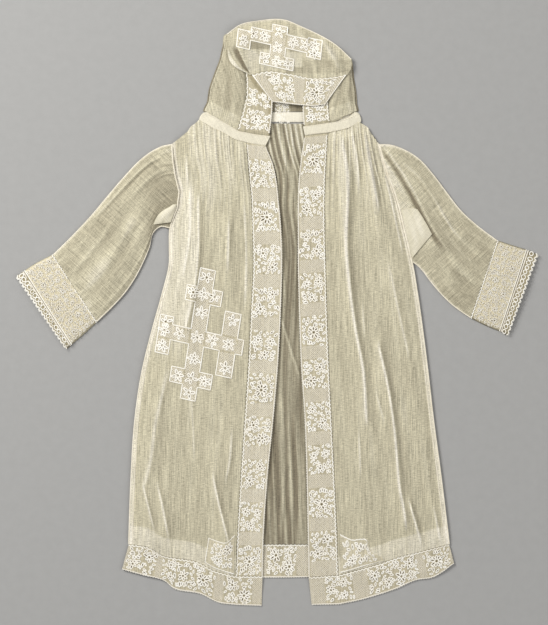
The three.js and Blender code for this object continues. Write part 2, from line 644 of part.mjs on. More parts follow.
// Sleeve, cuff or edging laid flat: a tube with a flat underside and a puffed top layer.
const HEAD_BEND = 0.45; // share of the sleeve over which its rings turn from the armhole to straight
const HEAD_REACH = 0.3; // share of the sleeve that the head gathers run down
const HEAD_ACROSS = { gathered: 0.5, fade: 0.4, end: 0.54 }; // and the share across it that they take
const SWELL_POWER = 0.7; // below 1 the top layer is fuller near its edges
const CREASE_END = 0.25; // share of a crease over which it rises
function sleeveForm(table, { armhole = null, gathers = 0, creases = [] } = {}) {
  const spans = table.length - 1;
  const keyed = table.map((row, i) => ({ ...row, along: i / spans }));
  const read = (name) => column(keyed, 'along', name);
  const [topX, topY, underX, underY, puff] = ['topX', 'topY', 'underX', 'underY', 'puff'].map(read);
  const plan = (along, part) => {
    const x = lerp(topX(along), underX(along), part);
    const y = lerp(topY(along), underY(along), part);
    if (!armhole) return [x, y];
    const [holeX, holeY] = armhole(part);
    const bend = 1 - smoothstep(along, 0, HEAD_BEND);
    return [
      x + bend * (holeX - lerp(topX(0), underX(0), part)),
      y + bend * (holeY - lerp(topY(0), underY(0), part)),
    ];
  };
  const height = (along, part) => {
    const swell = puff(along) * Math.pow(Math.sin(Math.PI * part), SWELL_POWER);
    const { gathered, fade, end } = HEAD_ACROSS;
    const head = (1 - smoothstep(along, 0, HEAD_REACH)) * (1 - smoothstep(part, fade, end));
    const gather = gathers ? SLEEVE_GATHER_RISE * head * pleat(gathers, part / gathered) : 0;
    const folds = creases.reduce((sum, { from, to, startAcross, endAcross, width, rise }) => {
      const share = (along - from) / (to - from);
      const ends = smoothstep(share, 0, CREASE_END) * (1 - smoothstep(share, 1 - CREASE_END, 1));
      const off = (part - lerp(startAcross, endAcross, share)) / width;
      return sum + rise * ends * Math.exp(-off * off);
    }, 0);
    return SLEEVE_EDGE + Math.max(0, swell) + gather + folds;
  };
  return { plan, height };
}

function sleeveSolid({ plan, height }, parts, underParts, alongs) {
  const outer = [];
  const inner = [];
  for (const along of alongs) {
    const width = Math.hypot(...plan(along, 0).map((value, axis) => value - plan(along, 1)[axis]));
    const inset = (part) => lerp(WALL / width, 1 - WALL / width, part);
    const place = (part, z) => new THREE.Vector3(...plan(along, part), z);
    outer.push([
      ...parts.map((part) => place(part, height(along, part))),
      ...underParts.map((part) => place(1 - part, 0)),
    ]);
    inner.push([
      ...parts.map((part) => place(inset(part), height(along, part) - WALL)),
      ...underParts.map((part) => place(inset(1 - part), WALL)),
    ]);
  }
  return tube(outer, inner);
}

// Armhole edge by share across the sleeve, straight between the shared levels of the panels.
function armholeRail(side, underarmY, offset) {
  const levels = LEVELS.filter((y) => y >= underarmY);
  const line = rail(levels.map((y) => [side(y) + offset, y]));
  return { line, spans: levels.length - 1 };
}

const armholeLeft = armholeRail(leftSide, LEFT_UNDERARM_Y, -SEAM);
const armholeRight = armholeRail(rightSide, RIGHT_UNDERARM_Y, SEAM);
const sleeveOptions = { gathers: SLEEVE_GATHERS, creases: SLEEVE_CREASES };
const sleeveLeftForm = sleeveForm(SLEEVE_LEFT, { armhole: armholeLeft.line, ...sleeveOptions });
const sleeveRightForm = sleeveForm(SLEEVE_RIGHT, { armhole: armholeRight.line, ...sleeveOptions });
const SLEEVE_COLUMNS = 24;
function wholeSleeve(form, { spans }) {
  const parts = evenly(spans * Math.round(SLEEVE_COLUMNS / spans));
  return sleeveSolid(form, parts, evenly(spans), evenly(SLEEVE_RINGS));
}
const sleeveLeft = wholeSleeve(sleeveLeftForm, armholeLeft);
const sleeveRight = wholeSleeve(sleeveRightForm, armholeRight);

const CUFF_COLUMNS = 14;
const CUFF_UNDER_COLUMNS = 2;
const CUFF_RINGS = 3;
const EDGING_RINGS = 1;
const CUFF_LENGTH = 34;
const EDGING_LENGTH = 9;
function cuffSolid(table, length, rings) {
  const clear = SEAM / length;
  const alongs = evenly(rings).map((share) => lerp(clear, 1, share));
  return sleeveSolid(sleeveForm(table), evenly(CUFF_COLUMNS), evenly(CUFF_UNDER_COLUMNS), alongs);
}

// Underarm square laid over the corner of a sleeve, made from the sleeve's own points.
const GUSSET_STEPS = 6;
function gusset({ high, outer, far, low, belly }, { plan, height }) {
  const steps = evenly(GUSSET_STEPS);
  const onSleeve = (lift) => steps.map((v) => steps.map((u) => {
    const [along, part] = [0, 1].map((axis) => {
      const lowEdge = lerp(low[axis], far[axis], u) + belly[axis] * 4 * u * (1 - u);
      return lerp(lerp(high[axis], outer[axis], u), lowEdge, v);
    });
    return new THREE.Vector3(...plan(along, part), height(along, part) + lift);
  }));
  return wall(onSleeve(TRIM_LIFT + WALL), onSleeve(TRIM_LIFT));
}

// Strip folded flat at both sides: front legs on top, the back below, a round turn between them.
function foldedStrip(rows, legColumns, backColumns) {
  const turn = ON_PLEATS / 2;
  const middle = turn + WALL / 2;
  const flat = (line, shares, z, up) => shares.map((share) => {
    const [x, y] = line(share);
    return { at: new THREE.Vector3(x, y, z), out: new THREE.Vector3(0, 0, up) };
  });
  const bend = ([x, y], side, upward) => evenly(FOLD_STEPS).slice(1, -1).map((share) => {
    const angle = Math.PI * (upward ? 1 - share : share);
    const out = new THREE.Vector3(side * Math.sin(angle), 0, Math.cos(angle));
    return { at: new THREE.Vector3(x, y, middle).addScaledVector(out, turn), out };
  });
  const stations = rows.map(({ left, base, right }) => [
    ...flat(left, evenly(legColumns), middle + turn, 1),
    ...bend(base(0), -1, false),
    ...flat(base, evenly(backColumns), middle - turn, -1),
    ...bend(base(1), 1, true),
    ...flat(right, evenly(legColumns), middle + turn, 1),
  ]);
  const pushed = (offset) => ({ at, out }) => at.clone().addScaledVector(out, offset);
  const skin = (offset) => stations.map((row) => row.map(pushed(offset)));
  return wall(skin(WALL / 2), skin(-WALL / 2));
}

const neckRows = [['topX', 'topY'], ['lowX', 'lowY']].map(([x, y]) => {
  const left = NECK_LEFT.map((row) => [row[x], row[y]]);
  const right = NECK_RIGHT.map((row) => [row[x], row[y]]).reverse();
  return { left: rail(left), base: rail([left.at(-1), right[0]]), right: rail(right) };
});
const NECK_LEG_COLUMNS = 10;
const NECK_BACK_COLUMNS = 8;
const neckband = foldedStrip(neckRows, NECK_LEG_COLUMNS, NECK_BACK_COLUMNS);

const hoodRows = HOOD.map((row) => {
  const straight = rail([row.foldL, row.foldR]);
  return {
    left: rail([row.faceL, row.foldL]),
    base: (share) => {
      const [x, y] = straight(share);
      return [x, y + row.arch * 4 * share * (1 - share)];
    },
    right: rail([row.foldR, row.faceR]),
  };
});
const HOOD_SIDE_COLUMNS = 4;
const HOOD_BACK_COLUMNS = 12;
const hood = foldedStrip(hoodRows, HOOD_SIDE_COLUMNS, HOOD_BACK_COLUMNS);

// Lace at the face edge of the hood sides
const hoodFace = (side, count) => HOOD.slice(0, count).map((row) => row[side]);
const FACE_EDGE_LEFT = [[-8, 187], [-6, 202], [-5, 217], [-6, 230], [-12, 243]];
const FACE_EDGE_RIGHT = [[28, 195.8], [27, 209], [27, 223]];
function hoodBand(outer, inner, shift) {
  const rows = 2 * (outer.length - 1);
  const [first, last] = [inner[0], inner.at(-1)];
  const face = moved(rail(outer), shift, 0);
  return panel({
    top: rail([face(0), first]),
    low: rail([face(1), last]),
    start: face,
    end: curve(inner),
  }, evenly(BAND_COLUMNS), evenly(rows), () => ON_PLEATS);
}
const hoodBandLeft = hoodBand(hoodFace('faceL', FACE_EDGE_LEFT.length), FACE_EDGE_LEFT, SEAM);
const hoodBandRight = hoodBand(hoodFace('faceR', FACE_EDGE_RIGHT.length), FACE_EDGE_RIGHT, -SEAM);

// Crown: folded forward, its top edge rolling down to the back of the hood
const crownCrease = creaseHeight(CROWN_CREASES, CROWN_CREASE_FADE);
const crownEdges = {
  top: curve(CROWN_TOP),
  low: curve(CROWN_LOW),
  start: curve(CROWN_LEFT),
  end: curve(CROWN_RIGHT),
};
const crownOuter = column(CROWN_TOP.map(([x, y]) => ({ x, y })), 'x', 'y');
function onHood(x, y) {
  const inset = crownOuter(x) - y;
  const { from, full, fade, to } = CROWN_ROLL_REACH;
  const reach = smoothstep(x, from, full) * (1 - smoothstep(x, fade, to));
  const roll = (1 - smoothstep(inset, 0, CROWN_ROLL)) * reach;
  const { top, topEnd, low, lowEnd } = CROWN_SMOOTH;
  const loose = smoothstep(inset, top, topEnd) * smoothstep(y, low, lowEnd);
  return lerp(ON_HOOD, ON_SEAM, roll) + loose * crownCrease(x, y);
}
const CROWN_COLUMNS = 20;
const CROWN_ROWS = 9;
const CROWN_BAND_ROWS = 4;
const crown = panel(crownEdges, evenly(CROWN_COLUMNS), evenly(CROWN_ROWS), onHood);
const crownBand = panel({
  top: curve(CROWN_BAND_TOP),
  low: curve(CROWN_BAND_LOW),
  start: rail([CROWN_BAND_TOP[0], CROWN_BAND_LOW[0]]),
  end: rail([CROWN_BAND_TOP.at(-1), CROWN_BAND_LOW.at(-1)]),
}, evenly(CROWN_COLUMNS), evenly(CROWN_BAND_ROWS), () => ON_HOOD);

const nodes = {
  back: [back, LAWN],
  back_hem_lace: [backHemLace, LACE],
  front_left: [frontLeft, LAWN],
  front_right: [frontRight, LAWN],
  front_band_left: [bandLeft, LACE],
  front_band_right: [bandRight, LACE],
  hem_lace_left: [hemLaceLeft, LACE],
  hem_lace_right: [hemLaceRight, LACE],
  corner_lace_left: [cornerLace(CORNER_LEFT, frontLeft), LACE],
  corner_lace_right: [cornerLace(CORNER_RIGHT, frontRight), LACE],
  front_cross: [cross(FRONT_CROSS, frontLeft), LACE],
  sleeve_left: [sleeveLeft, LAWN],
  sleeve_right: [sleeveRight, LAWN],
  cuff_lace_left: [cuffSolid(CUFF_LEFT, CUFF_LENGTH, CUFF_RINGS), LACE],
  cuff_lace_right: [cuffSolid(CUFF_RIGHT, CUFF_LENGTH, CUFF_RINGS), LACE],
  cuff_edging_left: [cuffSolid(EDGING_LEFT, EDGING_LENGTH, EDGING_RINGS), LACE],
  cuff_edging_right: [cuffSolid(EDGING_RIGHT, EDGING_LENGTH, EDGING_RINGS), LACE],
  gusset_left: [gusset(GUSSET_LEFT, sleeveLeftForm), LAWN],
  gusset_right: [gusset(GUSSET_RIGHT, sleeveRightForm), LAWN],
  neckband: [neckband, LAWN],
  hood: [hood, LAWN],
  hood_band_left: [hoodBandLeft, LACE],
  hood_band_right: [hoodBandRight, LACE],
  hood_crown: [crown, LAWN],
  hood_band_crown: [crownBand, LACE],
  hood_cross: [cross(HOOD_CROSS, crown), LACE],
};

// Origin on the floor under the middle of the whole outline
const box = new THREE.Box3();
for (const [geometry] of Object.values(nodes)) {
  geometry.computeBoundingBox();
  box.union(geometry.boundingBox);
}
const middle = box.getCenter(new THREE.Vector3());
const gown = new THREE.Group();
gown.name = 'christening_gown';
for (const [name, [geometry, finish]] of Object.entries(nodes)) {
  geometry.translate(-middle.x, -middle.y, -box.min.z);
  const mesh = new THREE.Mesh(geometry, new THREE.MeshStandardMaterial(finish));
  mesh.name = name;
  gown.add(mesh);
}

export default gown;
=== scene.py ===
# %% [markdown]
# # A hooded christening gown, laid flat
# The gown is cut from sheer cotton lawn and trimmed with bands of lace. It lies on its back with the
# front open, so nearly everything is a thin sheet lying on another sheet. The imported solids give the
# place and outline of each cut piece. Every sheet below is measured from its solid, made finer, and
# given its creases, gathers and threads.

# %% Load the frame and keep the size of the solids
import math

import bmesh
import bpy
import numpy as np
from mathutils import Matrix, Vector
from mathutils.bvhtree import BVHTree


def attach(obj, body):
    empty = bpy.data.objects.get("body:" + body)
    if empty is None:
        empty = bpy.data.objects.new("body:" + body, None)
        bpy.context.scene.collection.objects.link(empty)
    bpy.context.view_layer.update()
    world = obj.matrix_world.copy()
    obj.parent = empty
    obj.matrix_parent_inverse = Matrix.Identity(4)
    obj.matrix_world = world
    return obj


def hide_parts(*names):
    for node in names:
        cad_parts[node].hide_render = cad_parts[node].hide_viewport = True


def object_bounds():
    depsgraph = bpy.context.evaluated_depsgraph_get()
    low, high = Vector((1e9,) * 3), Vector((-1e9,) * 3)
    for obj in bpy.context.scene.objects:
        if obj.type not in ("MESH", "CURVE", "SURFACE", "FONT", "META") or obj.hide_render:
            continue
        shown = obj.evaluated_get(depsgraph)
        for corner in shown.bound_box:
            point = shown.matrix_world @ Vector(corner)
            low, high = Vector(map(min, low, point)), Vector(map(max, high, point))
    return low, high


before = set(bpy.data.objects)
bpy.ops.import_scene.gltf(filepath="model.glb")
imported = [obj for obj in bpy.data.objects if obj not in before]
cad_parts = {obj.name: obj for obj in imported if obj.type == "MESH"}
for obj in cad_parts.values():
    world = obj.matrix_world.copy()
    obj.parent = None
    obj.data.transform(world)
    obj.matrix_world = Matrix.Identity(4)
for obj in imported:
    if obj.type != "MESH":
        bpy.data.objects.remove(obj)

MM = 0.001
cad_low, cad_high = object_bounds()
print("solids:", len(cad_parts), "size in mm:", [round(s / MM) for s in cad_high - cad_low])

# %% [markdown]
# ## Floor, light and camera
# A flat-lay is seen from straight above. A large soft lamp at the upper left rakes across the cloth, so
# that creases a few millimetres high still read, and a weaker one fills the other side. The camera is far
# away with a long lens, because a copy stand shows hardly any perspective.

# %% Stage
PHOTO_SIZE = (548, 625)
MM_PER_PIXEL = 1.04
CAMERA_HEIGHT = 3.2
SENSOR = 36.0
VIEW_CENTRE = (-3.1 * MM, -0.2 * MM)  # the gown lies a little off the middle of the picture


def linear(colour):
    """sRGB hex, such as "e6ddc6", to the linear colour that shaders use."""
    parts = [int(colour[i:i + 2], 16) / 255 for i in (0, 2, 4)]
    return [c / 12.92 if c <= 0.04045 else ((c + 0.055) / 1.055) ** 2.4 for c in parts] + [1.0]


def link(obj):
    bpy.context.scene.collection.objects.link(obj)
    return obj


view_height = PHOTO_SIZE[1] * MM_PER_PIXEL * MM
camera = link(bpy.data.objects.new("camera", bpy.data.cameras.new("camera")))
camera.data.sensor_width = SENSOR
camera.data.lens = SENSOR * CAMERA_HEIGHT / view_height
camera.data.clip_end = 20
camera.location = (*VIEW_CENTRE, CAMERA_HEIGHT)
bpy.context.scene.camera = camera
bpy.context.scene.view_settings.view_transform = "Standard"

LAMPS = [
    {"name": "key", "place": (-1.5, 1.3, 1.5), "size": 1.1, "watts": 62},
    {"name": "fill", "place": (1.7, -0.6, 1.7), "size": 2.2, "watts": 20},
]
for lamp in LAMPS:
    light = bpy.data.lights.new(lamp["name"], "AREA")
    light.size, light.energy = lamp["size"], lamp["watts"]
    stand = link(bpy.data.objects.new(lamp["name"], light))
    stand.location = lamp["place"]
    stand.rotation_mode = "QUATERNION"
    stand.rotation_quaternion = (-Vector(lamp["place"])).to_track_quat("-Z", "Y")
SKY = {"Color": linear("f2f2f4"), "Strength": 0.34}
world = bpy.data.worlds.new("studio")
bpy.context.scene.world = world
world.use_nodes = True
for name, value in SKY.items():
    world.node_tree.nodes["Background"].inputs[name].default_value = value
print("camera at", tuple(round(c, 3) for c in camera.location), "lens", round(camera.data.lens))

# %% [markdown]
# ## Materials
# Cotton lawn is a fine plain weave of thin, slightly uneven yarns. To the eye it is a milky veil with
# slubs running both ways, darker where one layer lies alone and creamier where layers double. The real
# threads are about 0.35 mm apart, too fine for this picture, so the slubs are drawn about 1 mm wide.
# Lace is bleached cotton thread: whiter, rounder and a little rough.

# %% Add one node
def add(tree, kind, links=None, **settings):
    """One node with its settings, and its inputs linked or set by name or number."""
    node = tree.nodes.new(kind)
    for name, value in settings.items():
        setattr(node, name, value)
    for key, value in (links or {}).items():
        if isinstance(value, bpy.types.NodeSocket):
            tree.links.new(value, node.inputs[key])
        else:
            node.inputs[key].default_value = value
    return node


def new_material(name):
    material = bpy.data.materials.new(name)
    material.use_nodes = True
    tree = material.node_tree
    return material, tree, tree.nodes["Principled BSDF"]


def layer_and_shading_colour(tree, tones):
    """Colour by tone: of one layer alone, of two layers, and of a doubled edge or seam. The tone also carries
    painted shade and painted highlight in places.
    """
    tone = add(tree, "ShaderNodeAttribute", attribute_name="tone").outputs["Fac"]
    ramp = add(tree, "ShaderNodeValToRGB", {"Fac": tone})
    ramp.color_ramp.elements[0].color = linear(tones[0])
    ramp.color_ramp.elements[1].color = linear(tones[2])
    ramp.color_ramp.elements.new(0.5).color = linear(tones[1])
    return ramp.outputs["Color"]


def finish_surface(tree, shader, tint, relief, strength, depth, **finish):
    """Gives the shader its colour, a relief so many millimetres deep, and its finish."""
    bump = add(tree, "ShaderNodeBump", {"Height": relief, "Strength": strength, "Distance": depth * MM})
    tree.links.new(tint.outputs[2], shader.inputs["Base Color"])
    tree.links.new(bump.outputs[0], shader.inputs["Normal"])
    for name, value in finish.items():
        shader.inputs[name.replace("_", " ")].default_value = value


# %% Sheer cotton lawn, plain woven
SLUB_MM = 0.8  # width of a slub as drawn; the yarns themselves are finer
WARP_RUN_MM = 26  # length of a slub down the cloth
WEFT_RUN_MM = 5  # and across it
WEFT_SHARE = 0.8  # the weft yarns are finer and show less
GRAIN_MM = 0.9  # size of the small unevenness between yarns
GRAIN_SHARE = 0.8
THREAD_MM = 0.9  # spacing of the drawn threads
SLUB_RANGE = 0.44  # the slubs stay this near their middle value
LAWN_GREY = 0.97  # mean shade of the cloth


def lawn_material(name, tones, cover, uneven=0.56):
    """cover: how much of what lies below is hidden. uneven: how strongly the slubs show."""
    material, tree, shader = new_material(name)
    weave = add(tree, "ShaderNodeUVMap", uv_map="weave").outputs[0]
    slubs = []
    for wide, long in ((SLUB_MM, WARP_RUN_MM), (WEFT_RUN_MM, SLUB_MM), (GRAIN_MM, GRAIN_MM)):
        yarn = add(tree, "ShaderNodeMapping", {"Vector": weave, "Scale": (1 / wide, 1 / long, 1)})
        noise = add(tree, "ShaderNodeTexNoise", {"Vector": yarn.outputs[0], "Scale": 1.0, "Detail": 2.0})
        slubs.append(noise.outputs["Fac"])
    both = slubs[0]
    for slub, share in ((slubs[1], WEFT_SHARE), (slubs[2], GRAIN_SHARE)):
        both = add(tree, "ShaderNodeMath", {0: slub, 1: share, 2: both}, operation="MULTIPLY_ADD").outputs[0]
    middle = (1 + WEFT_SHARE + GRAIN_SHARE) / 2
    grey = add(tree, "ShaderNodeMapRange", {
        "Value": both, "From Min": middle - SLUB_RANGE, "From Max": middle + SLUB_RANGE,
        "To Min": LAWN_GREY - uneven, "To Max": LAWN_GREY + uneven})
    tint = add(tree, "ShaderNodeMix", {"Factor": 1.0, 6: layer_and_shading_colour(tree, tones), 7: grey.outputs[0]},
               data_type="RGBA", blend_type="MULTIPLY")
    threads = []
    for direction in ("X", "Y"):
        wave = add(tree, "ShaderNodeTexWave", {
            "Vector": weave, "Scale": 1 / THREAD_MM / math.pi, "Distortion": 1.5, "Detail": 1.0},
            bands_direction=direction)
        threads.append(wave.outputs["Fac"])
    cloth_relief = add(tree, "ShaderNodeMath", {0: threads[0], 1: threads[1]}, operation="MAXIMUM")
    relief = add(tree, "ShaderNodeMath", {0: cloth_relief.outputs[0], 1: both}, operation="ADD")
    finish_surface(tree, shader, tint, relief.outputs[0], 0.22, 0.2, Roughness=0.88, Sheen_Weight=0.12,
                   Sheen_Roughness=0.5, Specular_IOR_Level=0.25, Alpha=cover)
    return material


LAWN_TONES = ("8a806a", "d2caae", "faf3e1")
lawn = lawn_material("cotton_lawn_plain_woven", LAWN_TONES, 0.9)
lawn_back = lawn_material("cotton_lawn_single_layer", LAWN_TONES, 0.88)
lawn_doubled = lawn_material("cotton_lawn_doubled", LAWN_TONES, 1.0, 0.2)


# %% Bleached cotton lace thread and the net it is worked on
TWIST_MM = 0.8  # length of one twist of the thread, drawn a little long so that it shows
PATCH_MM = 9  # size of the places where the thread is a little whiter


def thread_material(name, colour, deep):
    material, tree, shader = new_material(name)
    place = add(tree, "ShaderNodeTexCoord").outputs["Object"]
    twist = add(tree, "ShaderNodeTexNoise", {"Vector": place, "Scale": 1 / (TWIST_MM * MM), "Detail": 2.0})
    uneven = add(tree, "ShaderNodeTexNoise", {"Vector": place, "Scale": 1 / (PATCH_MM * MM), "Detail": 2.0})
    mixed = add(tree, "ShaderNodeMath", {0: twist.outputs["Fac"], 1: uneven.outputs["Fac"]}, operation="ADD")
    shade = add(tree, "ShaderNodeMapRange", {"Value": mixed.outputs[0], "From Min": 0.7, "From Max": 1.25})
    tint = add(tree, "ShaderNodeMix", {"Factor": shade.outputs[0], 6: linear(deep), 7: linear(colour)},
               data_type="RGBA")
    finish_surface(tree, shader, tint, twist.outputs["Fac"], 0.3, 0.12, Roughness=0.82, Sheen_Weight=0.15,
                   Specular_IOR_Level=0.25)
    return material


NET_TONES = ("aea384", "ded5ba", "faf3df")
CELL_MM = 1.9  # cells of the fine net, drawn about twice their real size
CELL_CONTRAST = 0.24


def fine_net_material(name, tones):
    """Close lace net: small irregular cells, light along their threads and darker inside."""
    material, tree, shader = new_material(name)
    weave = add(tree, "ShaderNodeUVMap", uv_map="weave").outputs[0]
    cells = add(tree, "ShaderNodeTexVoronoi", {"Vector": weave, "Scale": 1 / CELL_MM, "Randomness": 0.9},
                voronoi_dimensions="2D", feature="DISTANCE_TO_EDGE")
    grey = add(tree, "ShaderNodeMapRange", {
        "Value": cells.outputs["Distance"], "From Min": 0.02, "From Max": 0.42,
        "To Min": 1 + CELL_CONTRAST, "To Max": 1 - CELL_CONTRAST})
    tint = add(tree, "ShaderNodeMix", {"Factor": 1.0, 6: layer_and_shading_colour(tree, tones), 7: grey.outputs[0]},
               data_type="RGBA", blend_type="MULTIPLY")
    finish_surface(tree, shader, tint, grey.outputs[0], 0.3, 0.2, Roughness=0.85, Specular_IOR_Level=0.25)
    return material


lace_thread = thread_material("lace_thread_bleached_cotton", "fffcf2", "f6efde")
net_ground = lawn_material("lace_net_ground_cotton", NET_TONES, 0.92, 0.52)
fine_net = fine_net_material("lace_net_fine_cotton", NET_TONES)
seam_thread = thread_material("rolled_seam_cotton_lawn", "f6eedb", "e2d8c0")
net_thread = thread_material("lace_net_thread_cotton", "f0e9da", "e2dac8")
# The slits and eyes of the lace are dark ribbons: painted shade in the openings.
lace_opening_shade = thread_material("lace_opening_in_shade", "7d7158", "62573f")
floor_paper = thread_material("studio_paper_matte", "a9a8a5", "a5a4a1")

FLOOR_HALF = 3.0
FLOOR_LEVEL = -0.1 * MM  # just under the cloth
square = [(-1, -1, FLOOR_LEVEL), (1, -1, FLOOR_LEVEL), (1, 1, FLOOR_LEVEL), (-1, 1, FLOOR_LEVEL)]
floor_mesh = bpy.data.meshes.new("floor")
floor_mesh.from_pydata(square, [], [(0, 1, 2, 3)])
floor_mesh.transform(Matrix.Diagonal((FLOOR_HALF, FLOOR_HALF, 1, 1)))
floor = link(bpy.data.objects.new("floor", floor_mesh))
floor.data.materials.append(floor_paper)
print("materials:", [m.name for m in bpy.data.materials if m.users])

# %% [markdown]
# ## Measuring the solids
# A panel could be drawn again from numbers, but its solid already has the outline. The faces that look up
# form an island, and the edge of that island is the panel's outline. Cut at four corners it gives four
# edge lines, and blending between them (a Coons patch) gives an even grid of points all over the panel.

# %% Outline of a solid's upper or lower faces
FACE_TILT = 0.35  # a face looks up when the upward share of its normal is more than this


def lengths(steps):
    """Length of each plan step in an array."""
    return np.hypot(*np.moveaxis(steps, -1, 0))


def rims(node, facing=1):
    """Outlines of the faces of a solid that look up (1) or down (-1), highest first."""
    mesh = bmesh.new()
    mesh.from_mesh(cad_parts[node].data)
    bmesh.ops.remove_doubles(mesh, verts=mesh.verts, dist=1e-6)
    mesh.normal_update()
    waiting = {f for f in mesh.faces if f.normal.z * facing > FACE_TILT}
    found = []
    while waiting:
        queue = [waiting.pop()]
        island = set(queue)
        while queue:
            for edge in queue.pop().edges:
                fresh = [f for f in edge.link_faces if f in waiting]
                waiting.difference_update(fresh)
                island.update(fresh)
                queue += fresh
        following = {
            corner.vert: corner.link_loop_next.vert
            for face in island for corner in face.loops
            if sum(f in island for f in corner.edge.link_faces) == 1
        }
        ring = [next(iter(following))]
        while following[ring[-1]] is not ring[0]:
            ring.append(following[ring[-1]])
        height = sum(f.calc_center_median().z for f in island) / len(island)
        outline = np.array([v.co.xy for v in ring]) / MM
        first = np.lexsort(outline.T[::-1])[0]  # the leftmost point, so that every run starts at the same one
        found.append((height, np.roll(outline, -first, axis=0)))
    mesh.free()
    return [ring for _, ring in sorted(found, key=lambda item: (-round(item[0], 4), item[1][:, 0].mean()))]


def edges_between(ring, corners):
    """Top, end, low and start lines of a panel, from its corners clockwise from the top left."""
    at = [int(np.argmin(lengths(ring - corner))) for corner in corners]
    count = len(ring)
    if (at[1] - at[0]) % count > (at[2] - at[0]) % count:
        ring, at = ring[::-1], [count - 1 - i for i in at]
    runs = []
    for a, b in zip(at, at[1:] + at[:1]):
        runs.append(ring[[(a + i) % count for i in range((b - a) % count + 1)]])
    return runs[0], runs[1], runs[2][::-1], runs[3][::-1]


def along(line, shares):
    """Points at shares of the length of a line, on a smooth curve through its stations."""
    run = np.concatenate([[0], np.cumsum(lengths(np.diff(line, axis=0)))])
    if len(line) > 2:
        slope = np.gradient(line, run, axis=0)
    else:
        slope = np.repeat([(line[1] - line[0]) / run[-1]], 2, 0)
    place = np.clip(shares, 0, 1) * run[-1]
    i = np.clip(np.searchsorted(run, place, side="right") - 1, 0, len(run) - 2)
    span = (run[i + 1] - run[i])[:, None]
    t = ((place - run[i]) / span[:, 0])[:, None]
    h = t * t * (3 - 2 * t)
    return (line[i] * (1 - h) + line[i + 1] * h
            + span * (slope[i] * t * (1 - t) ** 2 - slope[i + 1] * t * t * (1 - t)))


def panel(ring, corners, across, down):
    """Grid of plan points over a panel: rows run down, columns run across. Millimetres."""
    top, end, low, start = edges_between(ring, corners)
    u, v = np.linspace(0, 1, across + 1), np.linspace(0, 1, down + 1)
    t, l, s, e = along(top, u), along(low, u), along(start, v), along(end, v)
    u, v = u[None, :, None], v[:, None, None]
    corner_part = (1 - u) * (1 - v) * t[0] + u * (1 - v) * t[-1] + (1 - u) * v * l[0] + u * v * l[-1]
    return (1 - v) * t[None] + v * l[None] + (1 - u) * s[:, None] + u * e[:, None] - corner_part


search_trees = {}


def heights(node, plan, sheet=None):
    """Height of the top of a solid, or of a sheet, under each plan point, in millimetres."""
    key = sheet.name if sheet else node
    if key not in search_trees:
        mesh = sheet.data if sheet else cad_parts[node].data
        corners, faces = [v.co for v in mesh.vertices], [p.vertices for p in mesh.polygons]
        search_trees[key] = BVHTree.FromPolygons(corners, faces)
    tree = search_trees[key]
    flat = plan.reshape(-1, 2) * MM
    z = np.empty(len(flat))
    for i, (x, y) in enumerate(flat):
        hit = tree.ray_cast(Vector((x, y, 1)), Vector((0, 0, -1)))[0]
        if hit is None:
            hit = tree.find_nearest(Vector((x, y, cad_high.z)))[0]
        z[i] = hit.z
    return z.reshape(plan.shape[:2]) / MM


def relax(z, rounds):
    """Evens a grid of heights, so that the facets of the solid don't show in the cloth."""
    for _ in range(rounds):
        wide = np.pad(z, 1, mode="edge")
        z = (4 * z + wide[:-2, 1:-1] + wide[2:, 1:-1] + wide[1:-1, :-2] + wide[1:-1, 2:]) / 8
    return z


print("back panel outline:", len(rims("back")[0]), "points")

# %% [markdown]
# ## Creases and gathers
# A crease is a soft ridge along a line. Its height falls off sideways like a bell and fades at both ends.
# Gathers are many short ridges that start at a seam. Nothing in cloth is even, so their spacing, length
# and height come from a seeded list of random numbers, the same on every run.

# %% Crease shapes
def ease(value, low, high):
    t = np.clip((value - low) / (high - low), 0, 1)
    return t * t * (3 - 2 * t)


def crease(plan, path, width, rise, fade=22, side=0.0):
    """Ridge along a path that runs down the cloth. side adds a trough beside it, left (-) or right (+)."""
    path = np.array(sorted(path, key=lambda p: p[1]), float)
    x, y = plan[..., 0], plan[..., 1]
    fine = along(path, np.linspace(0, 1, 40))
    off = (x - np.interp(y, fine[:, 1], fine[:, 0])) / width
    begins = ease(y, path[0, 1] - fade / 2, path[0, 1] + fade / 2)
    ends = begins * (1 - ease(y, path[-1, 1] - fade / 2, path[-1, 1] + fade / 2))
    trough = abs(side) * np.exp(-((off - 1.9 * np.sign(side)) ** 2)) if side else 0
    return rise * ends * (np.exp(-np.abs(off) ** 1.6) - trough)


def creased(plan, creases, fade=22, narrow=1.0):
    """All the creases in a list, on one sheet."""
    return sum(crease(plan, c["path"], narrow * c["width"], c["rise"], fade, c["side"]) for c in creases)


def side_of(plan, line):
    """Distance of each plan point from a line that runs down, more than 0 to its right."""
    levels, places = np.array(sorted((y, x) for x, y in line)).T
    return plan[..., 0] - np.interp(plan[..., 1], levels, places)


def shares(shape):
    """Share across and share down of each point of a grid."""
    return np.linspace(0, 1, shape[1])[None], np.linspace(0, 1, shape[0])[:, None]


def streaks(shape, cells, seed):
    """Smooth random unevenness, from -1 to 1, with so many cells down and across the cloth."""
    rng = np.random.default_rng(seed)
    grid = rng.uniform(-1, 1, (cells[0] + 1, cells[1] + 1))
    for axis, count in ((0, shape[0]), (1, shape[1])):
        place = np.linspace(0, grid.shape[axis] - 1, count)
        i = np.clip(place.astype(int), 0, grid.shape[axis] - 2)
        t = place - i
        t = (t * t * (3 - 2 * t)).reshape([-1, 1] if axis == 0 else [1, -1])
        grid = np.take(grid, i, axis) * (1 - t) + np.take(grid, i + 1, axis) * t
    return grid


